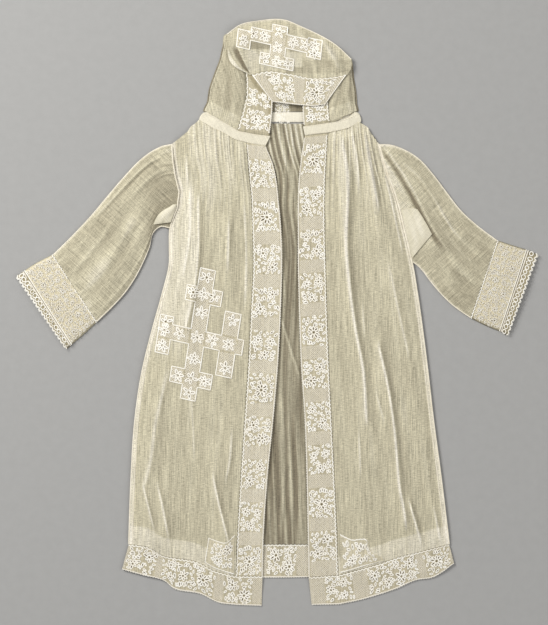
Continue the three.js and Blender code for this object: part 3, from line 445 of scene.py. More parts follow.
def gathers(shape, count, span, seed, reach=(0.08, 0.3), plump=(0.5, 1.0)):
    """Ridges that start at the top edge between two shares across it and die away down the cloth."""
    rng = np.random.default_rng(seed)
    u, v = shares(shape)
    pitch = (span[1] - span[0]) / count
    z = np.zeros(shape)
    for i in range(count):
        centre = span[0] + pitch * (i + 0.5 + rng.uniform(-0.3, 0.3))
        drift = rng.uniform(-0.7, 0.7) * pitch
        length = rng.uniform(*reach)
        off = (u - centre - drift * v / length) / (pitch * rng.uniform(0.25, 0.42))
        z += rng.uniform(*plump) * np.exp(-off * off) * (1 - ease(v, 0.15 * length, length))
    return z


# %% [markdown]
# ## Making a sheet
# Each sheet is a grid mesh. Two things ride on its points: a tone, which says how many layers of lawn lie
# together there and in places also carries painted shade and painted highlight, and a weave map in
# millimetres, which turns the drawn threads along the cut of the piece.


def add_piece(name, mesh, material, nodes=()):
    """Puts a finished mesh into the scene as a piece of the gown, in place of its solids."""
    mesh.materials.append(material)
    obj = link(bpy.data.objects.new(name, mesh))
    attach(obj, "root")
    if nodes:
        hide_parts(*nodes)
    return obj


def sheet_mesh(name, grids, material, nodes, loop=False):
    """grids: (points in mm, tone, turn of the weave in degrees). loop joins the last column to the first."""
    points, faces, tones, weaves, start = [], [], [], [], 0
    for grid, tone, turn in grids:
        rows, columns = grid.shape[:2]
        index = start + np.arange(rows * columns).reshape(rows, columns)
        if loop:
            index = np.concatenate([index, index[:, :1]], 1)
        corners = [index[:-1, :-1], index[1:, :-1], index[1:, 1:], index[:-1, 1:]]
        faces.append(np.stack(corners, -1).reshape(-1, 4))
        points.append(grid.reshape(-1, 3))
        tones.append(np.broadcast_to(tone, (rows, columns)).ravel())
        c, s = math.cos(math.radians(turn)), math.sin(math.radians(turn))
        weaves.append(grid[..., :2].reshape(-1, 2) @ np.array([[c, -s], [s, c]]))
        start += rows * columns
    points, faces = np.concatenate(points), np.concatenate(faces)
    mesh = bpy.data.meshes.new(name)
    mesh.from_pydata((points * MM).tolist(), [], faces.tolist())
    layers = mesh.attributes.new("tone", "FLOAT", "POINT")
    layers.data.foreach_set("value", np.clip(np.concatenate(tones), 0, 1))
    uv = mesh.uv_layers.new(name="weave")
    uv.data.foreach_set("uv", np.concatenate(weaves)[faces.ravel()].ravel())
    mesh.polygons.foreach_set("use_smooth", np.ones(len(faces), bool))
    return add_piece(name, mesh, material, nodes)


def raised(plan, z):
    return np.concatenate([plan, z[..., None]], -1)


# %% [markdown]
# ## Back
# The back is one width of lawn, drawn into the neckband in fine pleats that fan out down to the hem.
# It is the only layer in the open front, so it has the deepest tone. Its pleat ridges and creases are
# painted lighter, as doubled cloth and as painted highlight, and the troughs beside its creases are
# painted shade.

# %% Back
BACK_PLEATS = 40
BACK_CREASES = [
    {"path": [(4, -5), (13, -35), (23, -66)], "width": 1.3, "rise": 1.2, "side": 0.4},
    {"path": [(6, 186), (9, 150), (8, 110)], "width": 1.4, "rise": 1.0, "side": 0.4},
    {"path": [(16, 184), (17, 140), (21, 96)], "width": 1.5, "rise": 0.8, "side": -0.4},
    {"path": [(2, 120), (4, 60), (9, 10)], "width": 1.3, "rise": 0.8, "side": 0.3},
    {"path": [(20, 60), (18, 0), (14, -60)], "width": 1.2, "rise": 0.6, "side": 0.4},
    {"path": [(5, -90), (8, -160), (4, -230)], "width": 1.4, "rise": 0.8, "side": 0.4},
    {"path": [(20, -110), (23, -180), (26, -240)], "width": 1.4, "rise": 0.9, "side": -0.4},
]
back_plan = panel(rims("back")[0], [(-109, 176), (106, 176), (179, -240), (-154, -240)], 240, 200)
shape = back_plan.shape[:2]
u, v = shares(shape)
wander = 0.35 * streaks(shape, (7, 30), 3) + 0.3 * streaks(shape, (3, 9), 4)
pleats = 0.5 - 0.5 * np.cos(2 * math.pi * (BACK_PLEATS * u + wander))
fullness = (0.55 + 0.45 * streaks(shape, (6, 40), 5)) * (1 - 0.45 * ease(v, 0.1, 0.6) + 0.3 * ease(v, 0.7, 1))
ground = relax(heights("back", back_plan), 60)
inside = ease(np.minimum(u, 1 - u), 0.0, 0.06)
back_z = ground * 0.6 + inside * fullness * pleats * 1.15
back_folds = creased(back_plan, BACK_CREASES)
fine_pleats = streaks(shape, (6, 130), 7)
back_z = back_z + 0.7 * back_folds + 0.12 * inside * fine_pleats
# Tone: painted highlight on the pleat ridges, strongest near the neck, over the doubled cloth of each ridge,
# and painted shade in the troughs beside the creases.
back_tone = 0.04 + 0.7 * inside * fullness * pleats ** 3 + 0.2 * fine_pleats
back_tone = back_tone + 0.1 * streaks(shape, (5, 60), 6) + 0.3 * (1 - inside)
back_tone = back_tone + 0.3 * np.clip(back_folds, -0.2, 1.5)
back_tone = back_tone + 0.4 * inside * pleats ** 2 * (1 - ease(v, 0.02, 0.16))
back = sheet_mesh("back_panel", [(raised(back_plan, back_z), back_tone, 0)], lawn_back, ["back"])

# %% [markdown]
# ## Fronts
# Each front hangs from the neckband in gathers and has long pressed creases from being folded away. The
# creases stand as soft ridges, painted lighter along the ridge, as doubled cloth and as painted highlight,
# and darker in the trough beside it, as painted shade. Above the hem the lawn is turned up double, and the
# side seams are felled, so those strips are lighter too.

# %% Fronts
FRONT_LEFT_CREASES = [
    {"path": [(-82, 120), (-82, 66), (-86, 24), (-95, -16)], "width": 3.4, "rise": 1.3, "side": 0.5},
    {"path": [(-90, 128), (-91, 80), (-97, 40)], "width": 3.0, "rise": 1.0, "side": 0.3},
    {"path": [(-50, 92), (-51, 48)], "width": 2.6, "rise": 1.3, "side": 0.4},
    {"path": [(-34, 108), (-32, 60), (-33, 12)], "width": 2.8, "rise": 1.0, "side": -0.4},
    {"path": [(-94, 160), (-93, 132)], "width": 2.4, "rise": 1.1, "side": 0.4},
    {"path": [(-113, -60), (-119, -85), (-126, -115), (-131, -152), (-138, -182)],
     "width": 4.2, "rise": 0.9, "side": 0.3},
    {"path": [(-139, -180), (-134, -200), (-128, -224)], "width": 2.2, "rise": 1.3, "side": 0.5},
    {"path": [(-124, -180), (-119, -201), (-113, -232)], "width": 2.6, "rise": 1.4, "side": 0.4},
    {"path": [(-66, -172), (-61, -196), (-51, -236)], "width": 2.4, "rise": 1.8, "side": 0.6},
    {"path": [(-47, -128), (-49, -154), (-53, -174)], "width": 2.6, "rise": 1.2, "side": 0.4},
    {"path": [(-89, -88), (-87, -122), (-86, -150)], "width": 2.4, "rise": 0.7, "side": 0.3},
]
FRONT_RIGHT_CREASES = [
    {"path": [(68, 176), (73, 148), (72, 66), (76, 22), (83, -26), (89, -56), (93, -112)],
     "width": 3.4, "rise": 2.3, "side": 0.4},
    {"path": [(78, 186), (83, 158), (85, 130)], "width": 2.4, "rise": 1.2, "side": 0.4},
    {"path": [(93, 182), (100, 140), (105, 110)], "width": 2.8, "rise": 1.5, "side": 0.5},
    {"path": [(112, 145), (122, 102), (130, 64)], "width": 2.8, "rise": 1.2, "side": -0.4},
    {"path": [(106, -36), (113, -66), (122, -122), (125, -156), (127, -180), (132, -206), (134, -222)],
     "width": 2.9, "rise": 2.2, "side": 0.6},
    {"path": [(137, -196), (143, -216), (149, -236)], "width": 2.4, "rise": 2.2, "side": 0.8},
    {"path": [(117, 46), (124, 12), (136, -42)], "width": 2.8, "rise": 0.9, "side": 0.3},
    {"path": [(85, -128), (87, -168)], "width": 2.3, "rise": 1.0, "side": 0.4},
    {"path": [(103, -84), (111, -112)], "width": 2.2, "rise": 0.8, "side": 0.4},
    {"path": [(163, -204), (170, -238)], "width": 2.6, "rise": 1.4, "side": 0.4},
    {"path": [(89, 4), (91, -26)], "width": 2.4, "rise": 0.8, "side": 0.3},
]
HEM_TURN = 20  # height of the turned hem above the lace
HEM_DROP = 0.8  # the fronts come down so far to meet their hem lace
BACK_LEVEL = 0.5  # height of the lowest layer, which lies on the floor
NECK_LEVEL = 2.9  # height at which the gathers go under the neckband
ALLOWANCE = 3.0  # cloth that runs on under the neckband
ALLOWANCE_DROP = 1.3


def with_allowance(grid, tone, row, share):
    """Lets the first (0) or last (-1) row of a sheet run on under the neckband."""
    inner = 4 if row == 0 else -5
    out = grid[row, :, :2] - grid[inner, :, :2]
    out = out / np.maximum(lengths(out), 1e-6)[:, None] * ALLOWANCE * share[:, None]
    edge = grid[row] + np.concatenate([out, -ALLOWANCE_DROP * share[:, None]], -1)
    edge[:, 2] = np.maximum(edge[:, 2], BACK_LEVEL)
    if row == 0:
        return np.concatenate([edge[None], grid]), np.concatenate([tone[:1], tone])
    return np.concatenate([grid, edge[None]]), np.concatenate([tone, tone[-1:]])


def front(name, node, corners, creases, shoulder, seed, layers):
    """One front. shoulder: share of the top edge that isn't gathered. layers: where more cloth lies below."""
    plan = panel(rims(node)[0], corners, 190, 250)
    shape = plan.shape[:2]
    u, v = shares(shape)
    side_gap, hem_gap = lengths(plan - plan[:, :1]), lengths(plan - plan[-1:])
    z = relax(heights(node, plan), 70)
    calm = ease(side_gap, 0, 9) * ease(1 - u, 0, 0.06) * ease(hem_gap, 0, 14)
    folds, lines = creased(plan, creases), creased(plan, creases, narrow=0.4)
    fine = gathers(shape, 17, (shoulder, 0.98), seed)
    fine = fine + 0.6 * gathers(shape, 12, (shoulder, 0.98), seed + 1, (0.2, 0.5))
    slack = 0.28 * streaks(shape, (9, 26), seed + 2) + 0.35 * streaks(shape, (4, 8), seed + 3)
    z = z + calm * (0.66 * folds + slack) + 1.15 * fine * ease(1 - u, 0, 0.03)
    neck_gap = lengths(plan - plan[:1])
    sewn = (1 - ease(neck_gap, 0, 10)) * ease(u, shoulder - 0.05, shoulder + 0.02)
    z = z + sewn * (NECK_LEVEL + 0.5 * fine - z) - HEM_DROP * (1 - ease(hem_gap, 0, 9))
    tone = 0.46 + 0.07 * streaks(shape, (6, 40), seed + 4) + 0.05 * streaks(shape, (12, 14), seed + 5)
    # Painted highlight along each crease and painted shade in the trough beside it, over the doubled cloth of
    # the ridge.
    tone = tone + calm * (0.3 * np.clip(lines, -0.4, 2) + 0.06 * folds) + 0.16 * fine
    tone = tone + 0.3 * (1 - ease(side_gap, 3.6, 5)) + 0.24 * (1 - ease(hem_gap, HEM_TURN - 1.5, HEM_TURN))
    tone = tone + layers(plan)
    grid, tone = with_allowance(raised(plan, z), tone, 0, ease(u[0], shoulder - 0.02, shoulder + 0.04))
    obj = sheet_mesh(name, [(grid, tone, 0)], lawn, [node])
    return obj, plan, z


def left_layers(plan):
    """The left front has a strip folded under beside the armhole, so it is creamier there."""
    y = plan[..., 1]
    edge = [(-102, -60), (-94.6, -18), (-87.4, 23), (-83.2, 65), (-85.3, 112), (-92, 180)]
    under = 1 - ease(side_of(plan, edge), -1.5, 1.0)
    by_armhole = 0.2 * under * ease(y, -70, 0) * (1 - ease(y, 120, 175))
    return by_armhole + crease(plan, [(-62, 196), (-62, 120)], 22, 0.1, fade=60)


def right_layers(plan):
    """The right front has two broad gathers that look creamier."""
    inner = crease(plan, [(72, 186), (73, 60)], 9, 0.12, fade=60)
    return inner + crease(plan, [(100, 186), (120, 100)], 14, 0.12, fade=60)


front_left, left_plan, left_z = front(
    "front_panel_left", "front_left", [(-109, 176), (-32, 176), (-43, -273), (-154, -240)],
    FRONT_LEFT_CREASES, 0.24, 11, left_layers)
front_right, right_plan, right_z = front(
    "front_panel_right", "front_right", [(106, 176), (53, 186), (64, -272), (179, -240)],
    FRONT_RIGHT_CREASES, 0.24, 31, right_layers)

# %% [markdown]
# ## Sleeves
# A sleeve laid flat is a tube with two layers. The lower layer lies on the floor and the upper one puffs a
# little, with gathers at the shoulder and a few long creases to the cuff. The folded edges look lighter.

# %% Sleeves
FLOOR_GAP = 0.35  # height of the lower layer


def flat_tube(node, corners, across, down, under=26):
    """Rings of a flattened tube: the top layer from edge to edge, then the lower layer back."""
    plan = panel(rims(node)[0], corners, across, down)
    top = relax(heights(node, plan), 40)
    part = np.linspace(0, 1, across + 1)[None]
    round_edge = np.sqrt(np.clip(1 - np.abs(2 * part - 1) ** 14, 0, 1))
    back_columns = np.linspace(across, 0, under + 2).round().astype(int)[1:-1]
    return plan, FLOOR_GAP + 0.5 + (top - FLOOR_GAP - 0.5) * round_edge, plan[:, back_columns]


def sleeve(name, node, corners, seed, turn, creases, layers):
    plan, top, lower_plan = flat_tube(node, corners, 130, 190)
    shape = top.shape
    u, v = shares(shape)
    edge = np.minimum(u, 1 - u)
    calm = ease(edge, 0.01, 0.09)
    head = 0.7 * gathers(shape, 9, (0.04, 0.36), seed, (0.06, 0.2))
    head = head + 0.3 * gathers(shape, 4, (0.05, 0.4), seed + 1, (0.3, 0.8))
    folds = np.zeros(shape)
    for c in creases:
        share = np.clip((v - c["from"]) / (c["to"] - c["from"]), 0, 1)
        off = (u - c["start"] - (c["end"] - c["start"]) * share) / c["width"]
        ends = ease(v, c["from"], c["from"] + 0.12) * (1 - ease(v, c["to"] - 0.12, c["to"]))
        folds += c["rise"] * ends * (np.exp(-np.abs(off) ** 1.6) - 0.4 * np.exp(-((off - 1.8) ** 2)))
    wrist = gathers(shape, 16, (0.03, 0.97), seed + 2, (0.03, 0.12))[::-1]
    slack = 0.3 * streaks(shape, (6, 12), seed + 3) + 0.2 * streaks(shape, (12, 30), seed + 4)
    z = top + calm * (0.95 * head + folds + slack + 0.45 * wrist)
    tone = 0.39 + 0.06 * streaks(shape, (6, 36), seed + 5) + 0.12 * streaks(shape, (5, 4), seed + 6)
    # Creases: painted highlight along each ridge, over its doubled cloth, and painted shade in the trough
    # beside it.
    tone = tone + 0.2 * head + 0.2 * np.clip(folds, -0.4, 2) + 0.1 * wrist
    tone = tone + 0.34 * (1 - ease(edge, 0.008, 0.034))
    # layers gives a lift and a change of tone; on the sleeves that change of tone is painted shade and
    # painted highlight.
    lift, shade = layers(plan)
    z, tone = z + calm * lift, tone + shade
    lower = raised(lower_plan, np.full(lower_plan.shape[:2], FLOOR_GAP))
    ring = np.concatenate([raised(plan, z), lower], 1)
    tones = np.concatenate([tone, np.full(lower.shape[:2], 0.3)], 1)
    return sheet_mesh(name, [(ring, tones, turn)], lawn, [node], loop=True), plan, z


def left_sleeve_shade(plan):
    """Painted shade: a darker field beside the armhole that fades out towards the shoulder; the height is not
    changed.
    """
    off = side_of(plan, [(-118, 176), (-122, 140), (-122, 100)])
    return 0, -0.2 * ease(off, -26, 0) * (1 - ease(plan[..., 1], 130, 170))


def right_sleeve_fold_and_shade(plan):
    """The sleeve has slid over itself: a fold from shoulder to underarm, with a painted highlight along its
    edge and painted shade just below it; further below, the cloth is made lighter.
    """
    off = side_of(plan, [(107, 176), (128, 146), (143.5, 120), (159, 89), (180, 57.7)])
    here = ease(plan[..., 1], 58, 84) * (1 - ease(plan[..., 1], 160, 176))
    over = ease(off, -1.2, 1.2) * (1 - ease(off, 4, 26))
    edge_light = 0.26 * np.exp(-((off - 1.4) / 1.6) ** 2)
    edge_shade = 0.42 * np.exp(-((off + 3.2) / 2.8) ** 2)
    shade = edge_light - edge_shade + 0.26 * (1 - ease(off, -9, -5))
    return 1.3 * over * here, shade * here


SLEEVE_LEFT_CREASES = [
    {"from": 0.02, "to": 0.7, "start": 0.14, "end": 0.05, "width": 0.022, "rise": 1.0},
    {"from": 0.0, "to": 0.4, "start": 0.3, "end": 0.26, "width": 0.03, "rise": 0.7},
    {"from": 0.35, "to": 0.98, "start": 0.45, "end": 0.6, "width": 0.06, "rise": 0.8},
    {"from": 0.5, "to": 1.0, "start": 0.26, "end": 0.34, "width": 0.03, "rise": 0.6},
    {"from": 0.2, "to": 0.98, "start": 0.9, "end": 0.93, "width": 0.025, "rise": 0.45},
]
SLEEVE_RIGHT_CREASES = [
    {"from": 0.05, "to": 0.7, "start": 0.1, "end": 0.3, "width": 0.025, "rise": 0.8},
    {"from": 0.5, "to": 1.0, "start": 0.56, "end": 0.62, "width": 0.04, "rise": 0.7},
    {"from": 0.4, "to": 1.0, "start": 0.25, "end": 0.3, "width": 0.03, "rise": 0.8},
]
sleeve_left, sleeve_left_plan, sleeve_left_z = sleeve(
    "sleeve_left_tube", "sleeve_left", [(-109, 176), (-111, 88), (-187, -9), (-233, 61)],
    51, 48, SLEEVE_LEFT_CREASES, left_sleeve_shade)
sleeve_right, sleeve_right_plan, sleeve_right_z = sleeve(
    "sleeve_right_tube", "sleeve_right", [(106, 176), (140, 53), (201, -5), (229, 76)],
    71, -48, SLEEVE_RIGHT_CREASES, right_sleeve_fold_and_shade)

# %% [markdown]
# ## Underarm gussets
# A square of lawn under each arm lets the sleeve move. It is doubled and seamed, so it looks opaque.

# %% Gussets
def gusset(name, node, corners, turn, plump):
    """A square of doubled lawn with a straight lower edge. plump: how far its middle stands up."""
    plan = panel(rims(node)[0], corners, 30, 30)
    share = np.linspace(0, 1, 31)[:, None]
    straight = plan[-1, 0] * (1 - share) + plan[-1, -1] * share
    plan = plan + share[:, None] * (straight - plan[-1])[None]
    z = heights(node, plan)
    bow = np.sin(np.linspace(0, math.pi, 31))
    z = z - 1.1 + plump * bow[None] * bow[:, None] ** 0.5 + 0.25 * streaks(z.shape, (4, 5), 90)
    # Lighter where the middle stands up: painted highlight.
    tone = 0.6 + 0.14 * bow[None] * bow[:, None] + 0.08 * streaks(z.shape, (3, 6), 91)
    return sheet_mesh(name, [(raised(plan, relax(z, 4)), tone, turn)], lawn_doubled, [node])


gusset_left = gusset(
    "gusset_left_square", "gusset_left", [(-103, 120), (-108, 119), (-128, 91), (-110, 92)], 40, 1.8)
gusset_right = gusset(
    "gusset_right_square", "gusset_right", [(126, 111), (144, 107), (157, 80), (139, 57)], -40, 0.9)

# %% [markdown]
# ## Neckband
# A narrow strip, doubled and turned in, takes all the gathers. It lies in a flattened ring: the two front
# legs on top, the back below, and a round turn at each shoulder where the strip passes from one to the other.

# %% A leg that lies on top and turns under at its fold
TURN_STEPS = 6
TURN_IN = 1.8  # the turn stays this far inside the outline
FOLD_LEVEL = 2.0  # height of the upper layer where it turns under, pressed thin


def turned_leg(plan, z, fold_column, low_z):
    """Adds the round turn from the fold column (0 or -1) of a top layer down to the layer below."""
    away = 1 if fold_column else -1
    near_fold = ease(np.linspace(0, 1, plan.shape[1])[::away], 0.75, 1)[None]
    z = z + near_fold * (FOLD_LEVEL - z)
    radius = (z[:, fold_column] - low_z) / 2
    inward = away * (radius[:, None] + TURN_IN) * near_fold
    plan = plan - np.stack([inward, np.zeros_like(inward)], -1)
    edge = plan[:, fold_column]
    columns = []
    for i in range(1, TURN_STEPS + 1):
        angle = math.pi * i / TURN_STEPS
        x = edge[:, 0] + away * radius * math.sin(angle)
        columns.append(np.stack([x, edge[:, 1], low_z + radius * (1 + math.cos(angle))], -1)[:, None])
    leg = raised(plan, z)
    return np.concatenate([leg, *columns] if fold_column else [*columns[::-1], leg], 1)


def padded_strip(node, plan):
    """A doubled strip is a little thicker along its middle than at its pressed edges."""
    across = np.linspace(-1, 1, plan.shape[0])[:, None]
    pressed = 0.3 * np.sqrt(np.clip(1 - across ** 6, 0, 1)) + 0.12 * streaks(plan.shape[:2], (2, 30), 95)
    level = heights(node, plan)[plan.shape[0] // 2]
    return relax(np.broadcast_to(level, plan.shape[:2]), 6) - 0.75 + pressed


neck_rims = rims("neckband")
neck_left_plan = panel(neck_rims[0], [(-75, 209), (-7, 184), (-12, 174), (-80, 199)], 70, 10)
neck_right_plan = panel(neck_rims[1], [(27, 194), (83, 209), (86, 198), (29, 184)], 60, 10)
neck_back_plan = panel(rims("neckband", -1)[-1], [(-75, 209), (83, 209), (86, 198), (-80, 199)], 90, 8)
neck_back_plan[..., 0] = 3 + 0.96 * (neck_back_plan[..., 0] - 3)
neck_arch = BACK_LEVEL + 0.4 * np.sin(np.linspace(0, math.pi, 9))[:, None]
neck_back_z = np.broadcast_to(neck_arch, neck_back_plan.shape[:2])
neckband = sheet_mesh("neckband_strip", [
    (turned_leg(neck_left_plan, padded_strip("neckband", neck_left_plan), 0, BACK_LEVEL), 0.74, 30),
    (raised(neck_back_plan, neck_back_z), 0.86, 0),
    (turned_leg(neck_right_plan, padded_strip("neckband", neck_right_plan), -1, BACK_LEVEL), 0.74, -15),
], lawn_doubled, ["neckband"])

# %% [markdown]
# ## Hood
# The hood is one piece that folds at both sides: its back lies on the floor, its sides lie forward, and they
# are gathered into the neckband. The crown has flopped forward over the face with a rolled edge at the left.

# %% Hood sides and back
hood_rims = rims("hood")
hood_left_plan = panel(hood_rims[0], [(-51, 290), (-38, 283), (-41, 191), (-74, 211)], 60, 130)
hood_right_plan = panel(hood_rims[1], [(61, 261), (75, 265), (82, 211), (55, 200)], 50, 90)
hood_back_plan = panel(rims("hood", -1)[-1], [(-51, 290), (75, 265), (82, 211), (-74, 211)], 90, 70)


def hood_side(plan, seed, creases):
    shape = plan.shape[:2]
    neck = gathers(shape, 9, (0.05, 0.95), seed, (0.15, 0.6), (0.4, 0.9))[::-1]
    folds = creased(plan, creases, fade=14)
    z = relax(heights("hood", plan), 20) - 0.3 + 0.4 * neck + 0.6 * folds
    z = z + 0.2 * streaks(shape, (6, 7), seed + 1)
    neck_gap = lengths(plan - plan[-1:])
    z = z + (1 - ease(neck_gap, 0, 8)) * (NECK_LEVEL + 0.2 * neck - z)
    # Creases: painted highlight along each ridge, over its doubled cloth, and painted shade in the trough
    # beside it.
    tone = 0.34 + 0.07 * neck + 0.1 * np.clip(folds, -0.3, 1.5) + 0.06 * streaks(shape, (5, 16), seed + 2)
    return z, tone + 0.16 * (1 - ease(neck_gap, 12, 13))


HOOD_LEFT_CREASES = [
    {"path": [(-60, 252), (-55, 225), (-58, 206)], "width": 3, "rise": 0.8, "side": 0.4},
    {"path": [(-45, 262), (-44, 226), (-46, 200)], "width": 2.6, "rise": 0.7, "side": -0.4},
    {"path": [(-43, 253), (-40, 246), (-34, 238)], "width": 2.2, "rise": 1.4, "side": 0.7},
]
HOOD_RIGHT_CREASES = [
    {"path": [(68, 250), (72, 228), (73, 212)], "width": 2.8, "rise": 0.8, "side": 0.4},
    {"path": [(62, 238), (60, 214)], "width": 2.6, "rise": 0.7, "side": 0.4},
]
left_side_z, left_side_tone = hood_side(hood_left_plan, 101, HOOD_LEFT_CREASES)
right_side_z, right_side_tone = hood_side(hood_right_plan, 111, HOOD_RIGHT_CREASES)
back_hood_z = BACK_LEVEL + 0.25 * streaks(hood_back_plan.shape[:2], (6, 20), 121)
# The back of the hood is darkest: one layer alone, with painted shade inside the hood under its sides and
# crown. Its top rows and the strip under the face lace are lighter.
back_hood_tone_and_shade = 0.06 + 0.06 * streaks(hood_back_plan.shape[:2], (5, 30), 122)
back_hood_tone_and_shade = back_hood_tone_and_shade + 0.46 * (1 - ease(shares(hood_back_plan.shape)[1], 0.1, 0.2))
back_hood_tone_and_shade = back_hood_tone_and_shade + 0.4 * ease(np.abs(hood_back_plan[..., 0] - 6.5), 7.2, 6)
left_leg = turned_leg(hood_left_plan, left_side_z, 0, BACK_LEVEL)
right_leg = turned_leg(hood_right_plan, right_side_z, -1, BACK_LEVEL)
turn_tone = np.full((left_leg.shape[0], TURN_STEPS), 0.62)
left_tone = np.concatenate([turn_tone, left_side_tone], 1)
right_tone = np.concatenate([right_side_tone, turn_tone[:right_leg.shape[0]]], 1)
hood = sheet_mesh("hood_sides", [
    (*with_allowance(left_leg, left_tone, -1, np.ones(left_leg.shape[1])), 14),
    (raised(hood_back_plan, back_hood_z), back_hood_tone_and_shade, 0),
    (*with_allowance(right_leg, right_tone, -1, np.ones(right_leg.shape[1])), -8),
], lawn, ["hood"])

# %% Crown
CROWN_CREASES = [
    {"path": [(46, 284), (58, 266), (64, 252)], "width": 3.6, "rise": 1.4, "side": -0.4},
    {"path": [(24, 292), (36, 268), (40, 250)], "width": 3.2, "rise": 0.8, "side": 0.4},
    {"path": [(-26, 272), (-16, 262), (-12, 254)], "width": 3.0, "rise": 0.6, "side": 0.3},
    {"path": [(-22, 302), (-26, 290), (-24, 282)], "width": 3.2, "rise": 0.7, "side": 0.3},
]
# Left edge of the roll beside the flap
ROLL_OUTER = [(-53, 290), (-52, 274.5), (-48.2, 264), (-39.2, 253.7), (-28, 247)]
ROLL_OUT = 3.4  # the roll bulges this far
FLAP_EDGE = [(-42, 290), (-41, 274), (-31.6, 254), (-20.7, 236), (-5.8, 219)]  # fold of the flap itself
# The roll seen from its outer edge (0) to the flap (1): shares, change of tone and height. The change of
# tone is painted light: a painted highlight on the outer edge and on the flap's edge, and painted shade in
# the hollow of the roll.
ROLL_RISE_AND_PAINTED_SHADE = [
    {"share": 0.0, "tone": 0.32, "rise": 0.2},
    {"share": 0.1, "tone": 0.26, "rise": 0.5},
    {"share": 0.2, "tone": -0.2, "rise": -0.5},
    {"share": 0.3, "tone": 0.1, "rise": 0.2},
    {"share": 0.42, "tone": 0.02, "rise": 0.4},
    {"share": 0.54, "tone": -0.32, "rise": -0.4},
    {"share": 0.72, "tone": -0.46, "rise": -0.8},
    {"share": 0.98, "tone": -0.56, "rise": -1.0},
    {"share": 1.04, "tone": 0.32, "rise": 1.2},
    {"share": 1.2, "tone": 0.14, "rise": 1.0},
    {"share": 3.0, "tone": 0.06, "rise": 0.0},
]
CROWN_SEAM_LEVEL = 4.85  # height of the seam between the crown and its lace
CROWN_PATCHES = [  # places with more or fewer layers: middle, half sizes and change of tone
    {"at": (-17, 277.5), "half": (12.5, 4.4), "tone": -0.24},
    {"at": (21.5, 276), "half": (8.4, 5.2), "tone": -0.22},
    {"at": (18, 251.5), "half": (9, 3.2), "tone": -0.2},
    {"at": (54, 255), "half": (27, 7), "tone": -0.12},
    {"at": (18, 262.5), "half": (8.2, 7.6), "tone": 0.14},
    {"at": (-14, 262), "half": (16, 11), "tone": 0.08},
]
crown_plan = panel(rims("hood_crown")[0], [(-52, 290), (77, 264), (72, 246), (-28, 248)], 180, 100)
shape = crown_plan.shape[:2]
u, v = shares(shape)
crown_plan[..., 0] -= ROLL_OUT * (1 - ease(u, 0, 0.14)) * np.exp(-((crown_plan[..., 1] - 260) / 11) ** 2)
crown_folds = creased(crown_plan, CROWN_CREASES, fade=12)
crown_calm = ease(v, 0.02, 0.16) * ease(1 - v, 0, 0.1) * ease(u, 0, 0.04) * ease(1 - u, 0, 0.04)
crown_z = relax(heights("hood_crown", crown_plan), 30) - 0.3
crown_z = crown_z + crown_calm * (crown_folds + 0.4 * streaks(shape, (6, 12), 131))
from_outer, from_flap = side_of(crown_plan, ROLL_OUTER), side_of(crown_plan, FLAP_EDGE)
roll_share = from_outer / np.maximum(from_outer - from_flap, 1)
roll_stops = [r["share"] for r in ROLL_RISE_AND_PAINTED_SHADE]
by_roll = ease(277 - crown_plan[..., 1], 0, 7)
crown_z = crown_z + by_roll * np.interp(roll_share, roll_stops, [r["rise"] for r in ROLL_RISE_AND_PAINTED_SHADE])
crown_z = crown_z + ease(v, 0.8, 1) * (CROWN_SEAM_LEVEL - crown_z)
# Creases: painted highlight along each ridge, over its doubled cloth, and painted shade in the trough beside
# it.
crown_tone = 0.43 + 0.07 * streaks(shape, (5, 24), 132) + 0.16 * np.clip(crown_folds, -0.5, 2)
crown_tone = crown_tone + 0.2 * (1 - ease(v, 0.0, 0.05))
# Painted highlight on the outer edge of the roll and on the flap's edge, painted shade in the roll's hollow.
crown_tone = crown_tone + by_roll * np.interp(roll_share, roll_stops, [r["tone"] for r in ROLL_RISE_AND_PAINTED_SHADE])
for patch in CROWN_PATCHES:
    off = (np.abs(crown_plan - patch["at"]) - patch["half"]).max(-1)
    crown_tone = crown_tone + patch["tone"] * (1 - ease(off, -0.9, 0.7))
crown_sewn, sewn_tone = with_allowance(raised(crown_plan, crown_z), crown_tone, -1, np.full(shape[1], 0.5))
crown = sheet_mesh("hood_crown_flap", [(crown_sewn, sewn_tone, 0)], lawn, ["hood_crown"])

# %% [markdown]
# ## Lace
# The bands are lace worked in blocks: a flower block, then a square of plain net, over and over, between two
# corded edges. One lace band is thousands of short thread ribbons. Each ribbon is a strip of flat points
# with a raised middle, laid on the surface of its band, and all of them are joined into one mesh. The band's
# own net is a thin sheet under them.

# %% The surface that a lace strip lies on
LIFT = 0.12  # threads lie this far above their net
CORD = 0.5  # half the width of an outline cord, drawn a little broad so that it shows
OPENING = 0.05  # least half width of an open slit, and its height above the net


class Strip:
    """A band measured from its solid: s runs across from the sewn edge, t along it, in millimetres."""

    def __init__(self, node, corners, across=12, down=90, drop=0.35):
        self.plan = panel(rims(node)[0], corners, across, down)
        self.z = relax(heights(node, self.plan), 8) - drop
        self.points = raised(self.plan, self.z)
        self.width = lengths(np.diff(self.plan, axis=1)).sum(1).mean()
        self.length = lengths(np.diff(self.plan, axis=0)).sum(0).mean()

    def at(self, s, t, lift):
        rows, columns = self.points.shape[:2]
        i, j = np.asarray(t) / self.length * (rows - 1), np.asarray(s) / self.width * (columns - 1)
        a, b = np.clip(i.astype(int), 0, rows - 2), np.clip(j.astype(int), 0, columns - 2)
        p, q = (i - a)[..., None], (j - b)[..., None]
        near = self.points[a, b] * (1 - q) + self.points[a, b + 1] * q
        far = self.points[a + 1, b] * (1 - q) + self.points[a + 1, b + 1] * q
        point = near * (1 - p) + far * p
        return point + np.stack([np.zeros_like(i), np.zeros_like(i), np.broadcast_to(lift, i.shape)], -1)


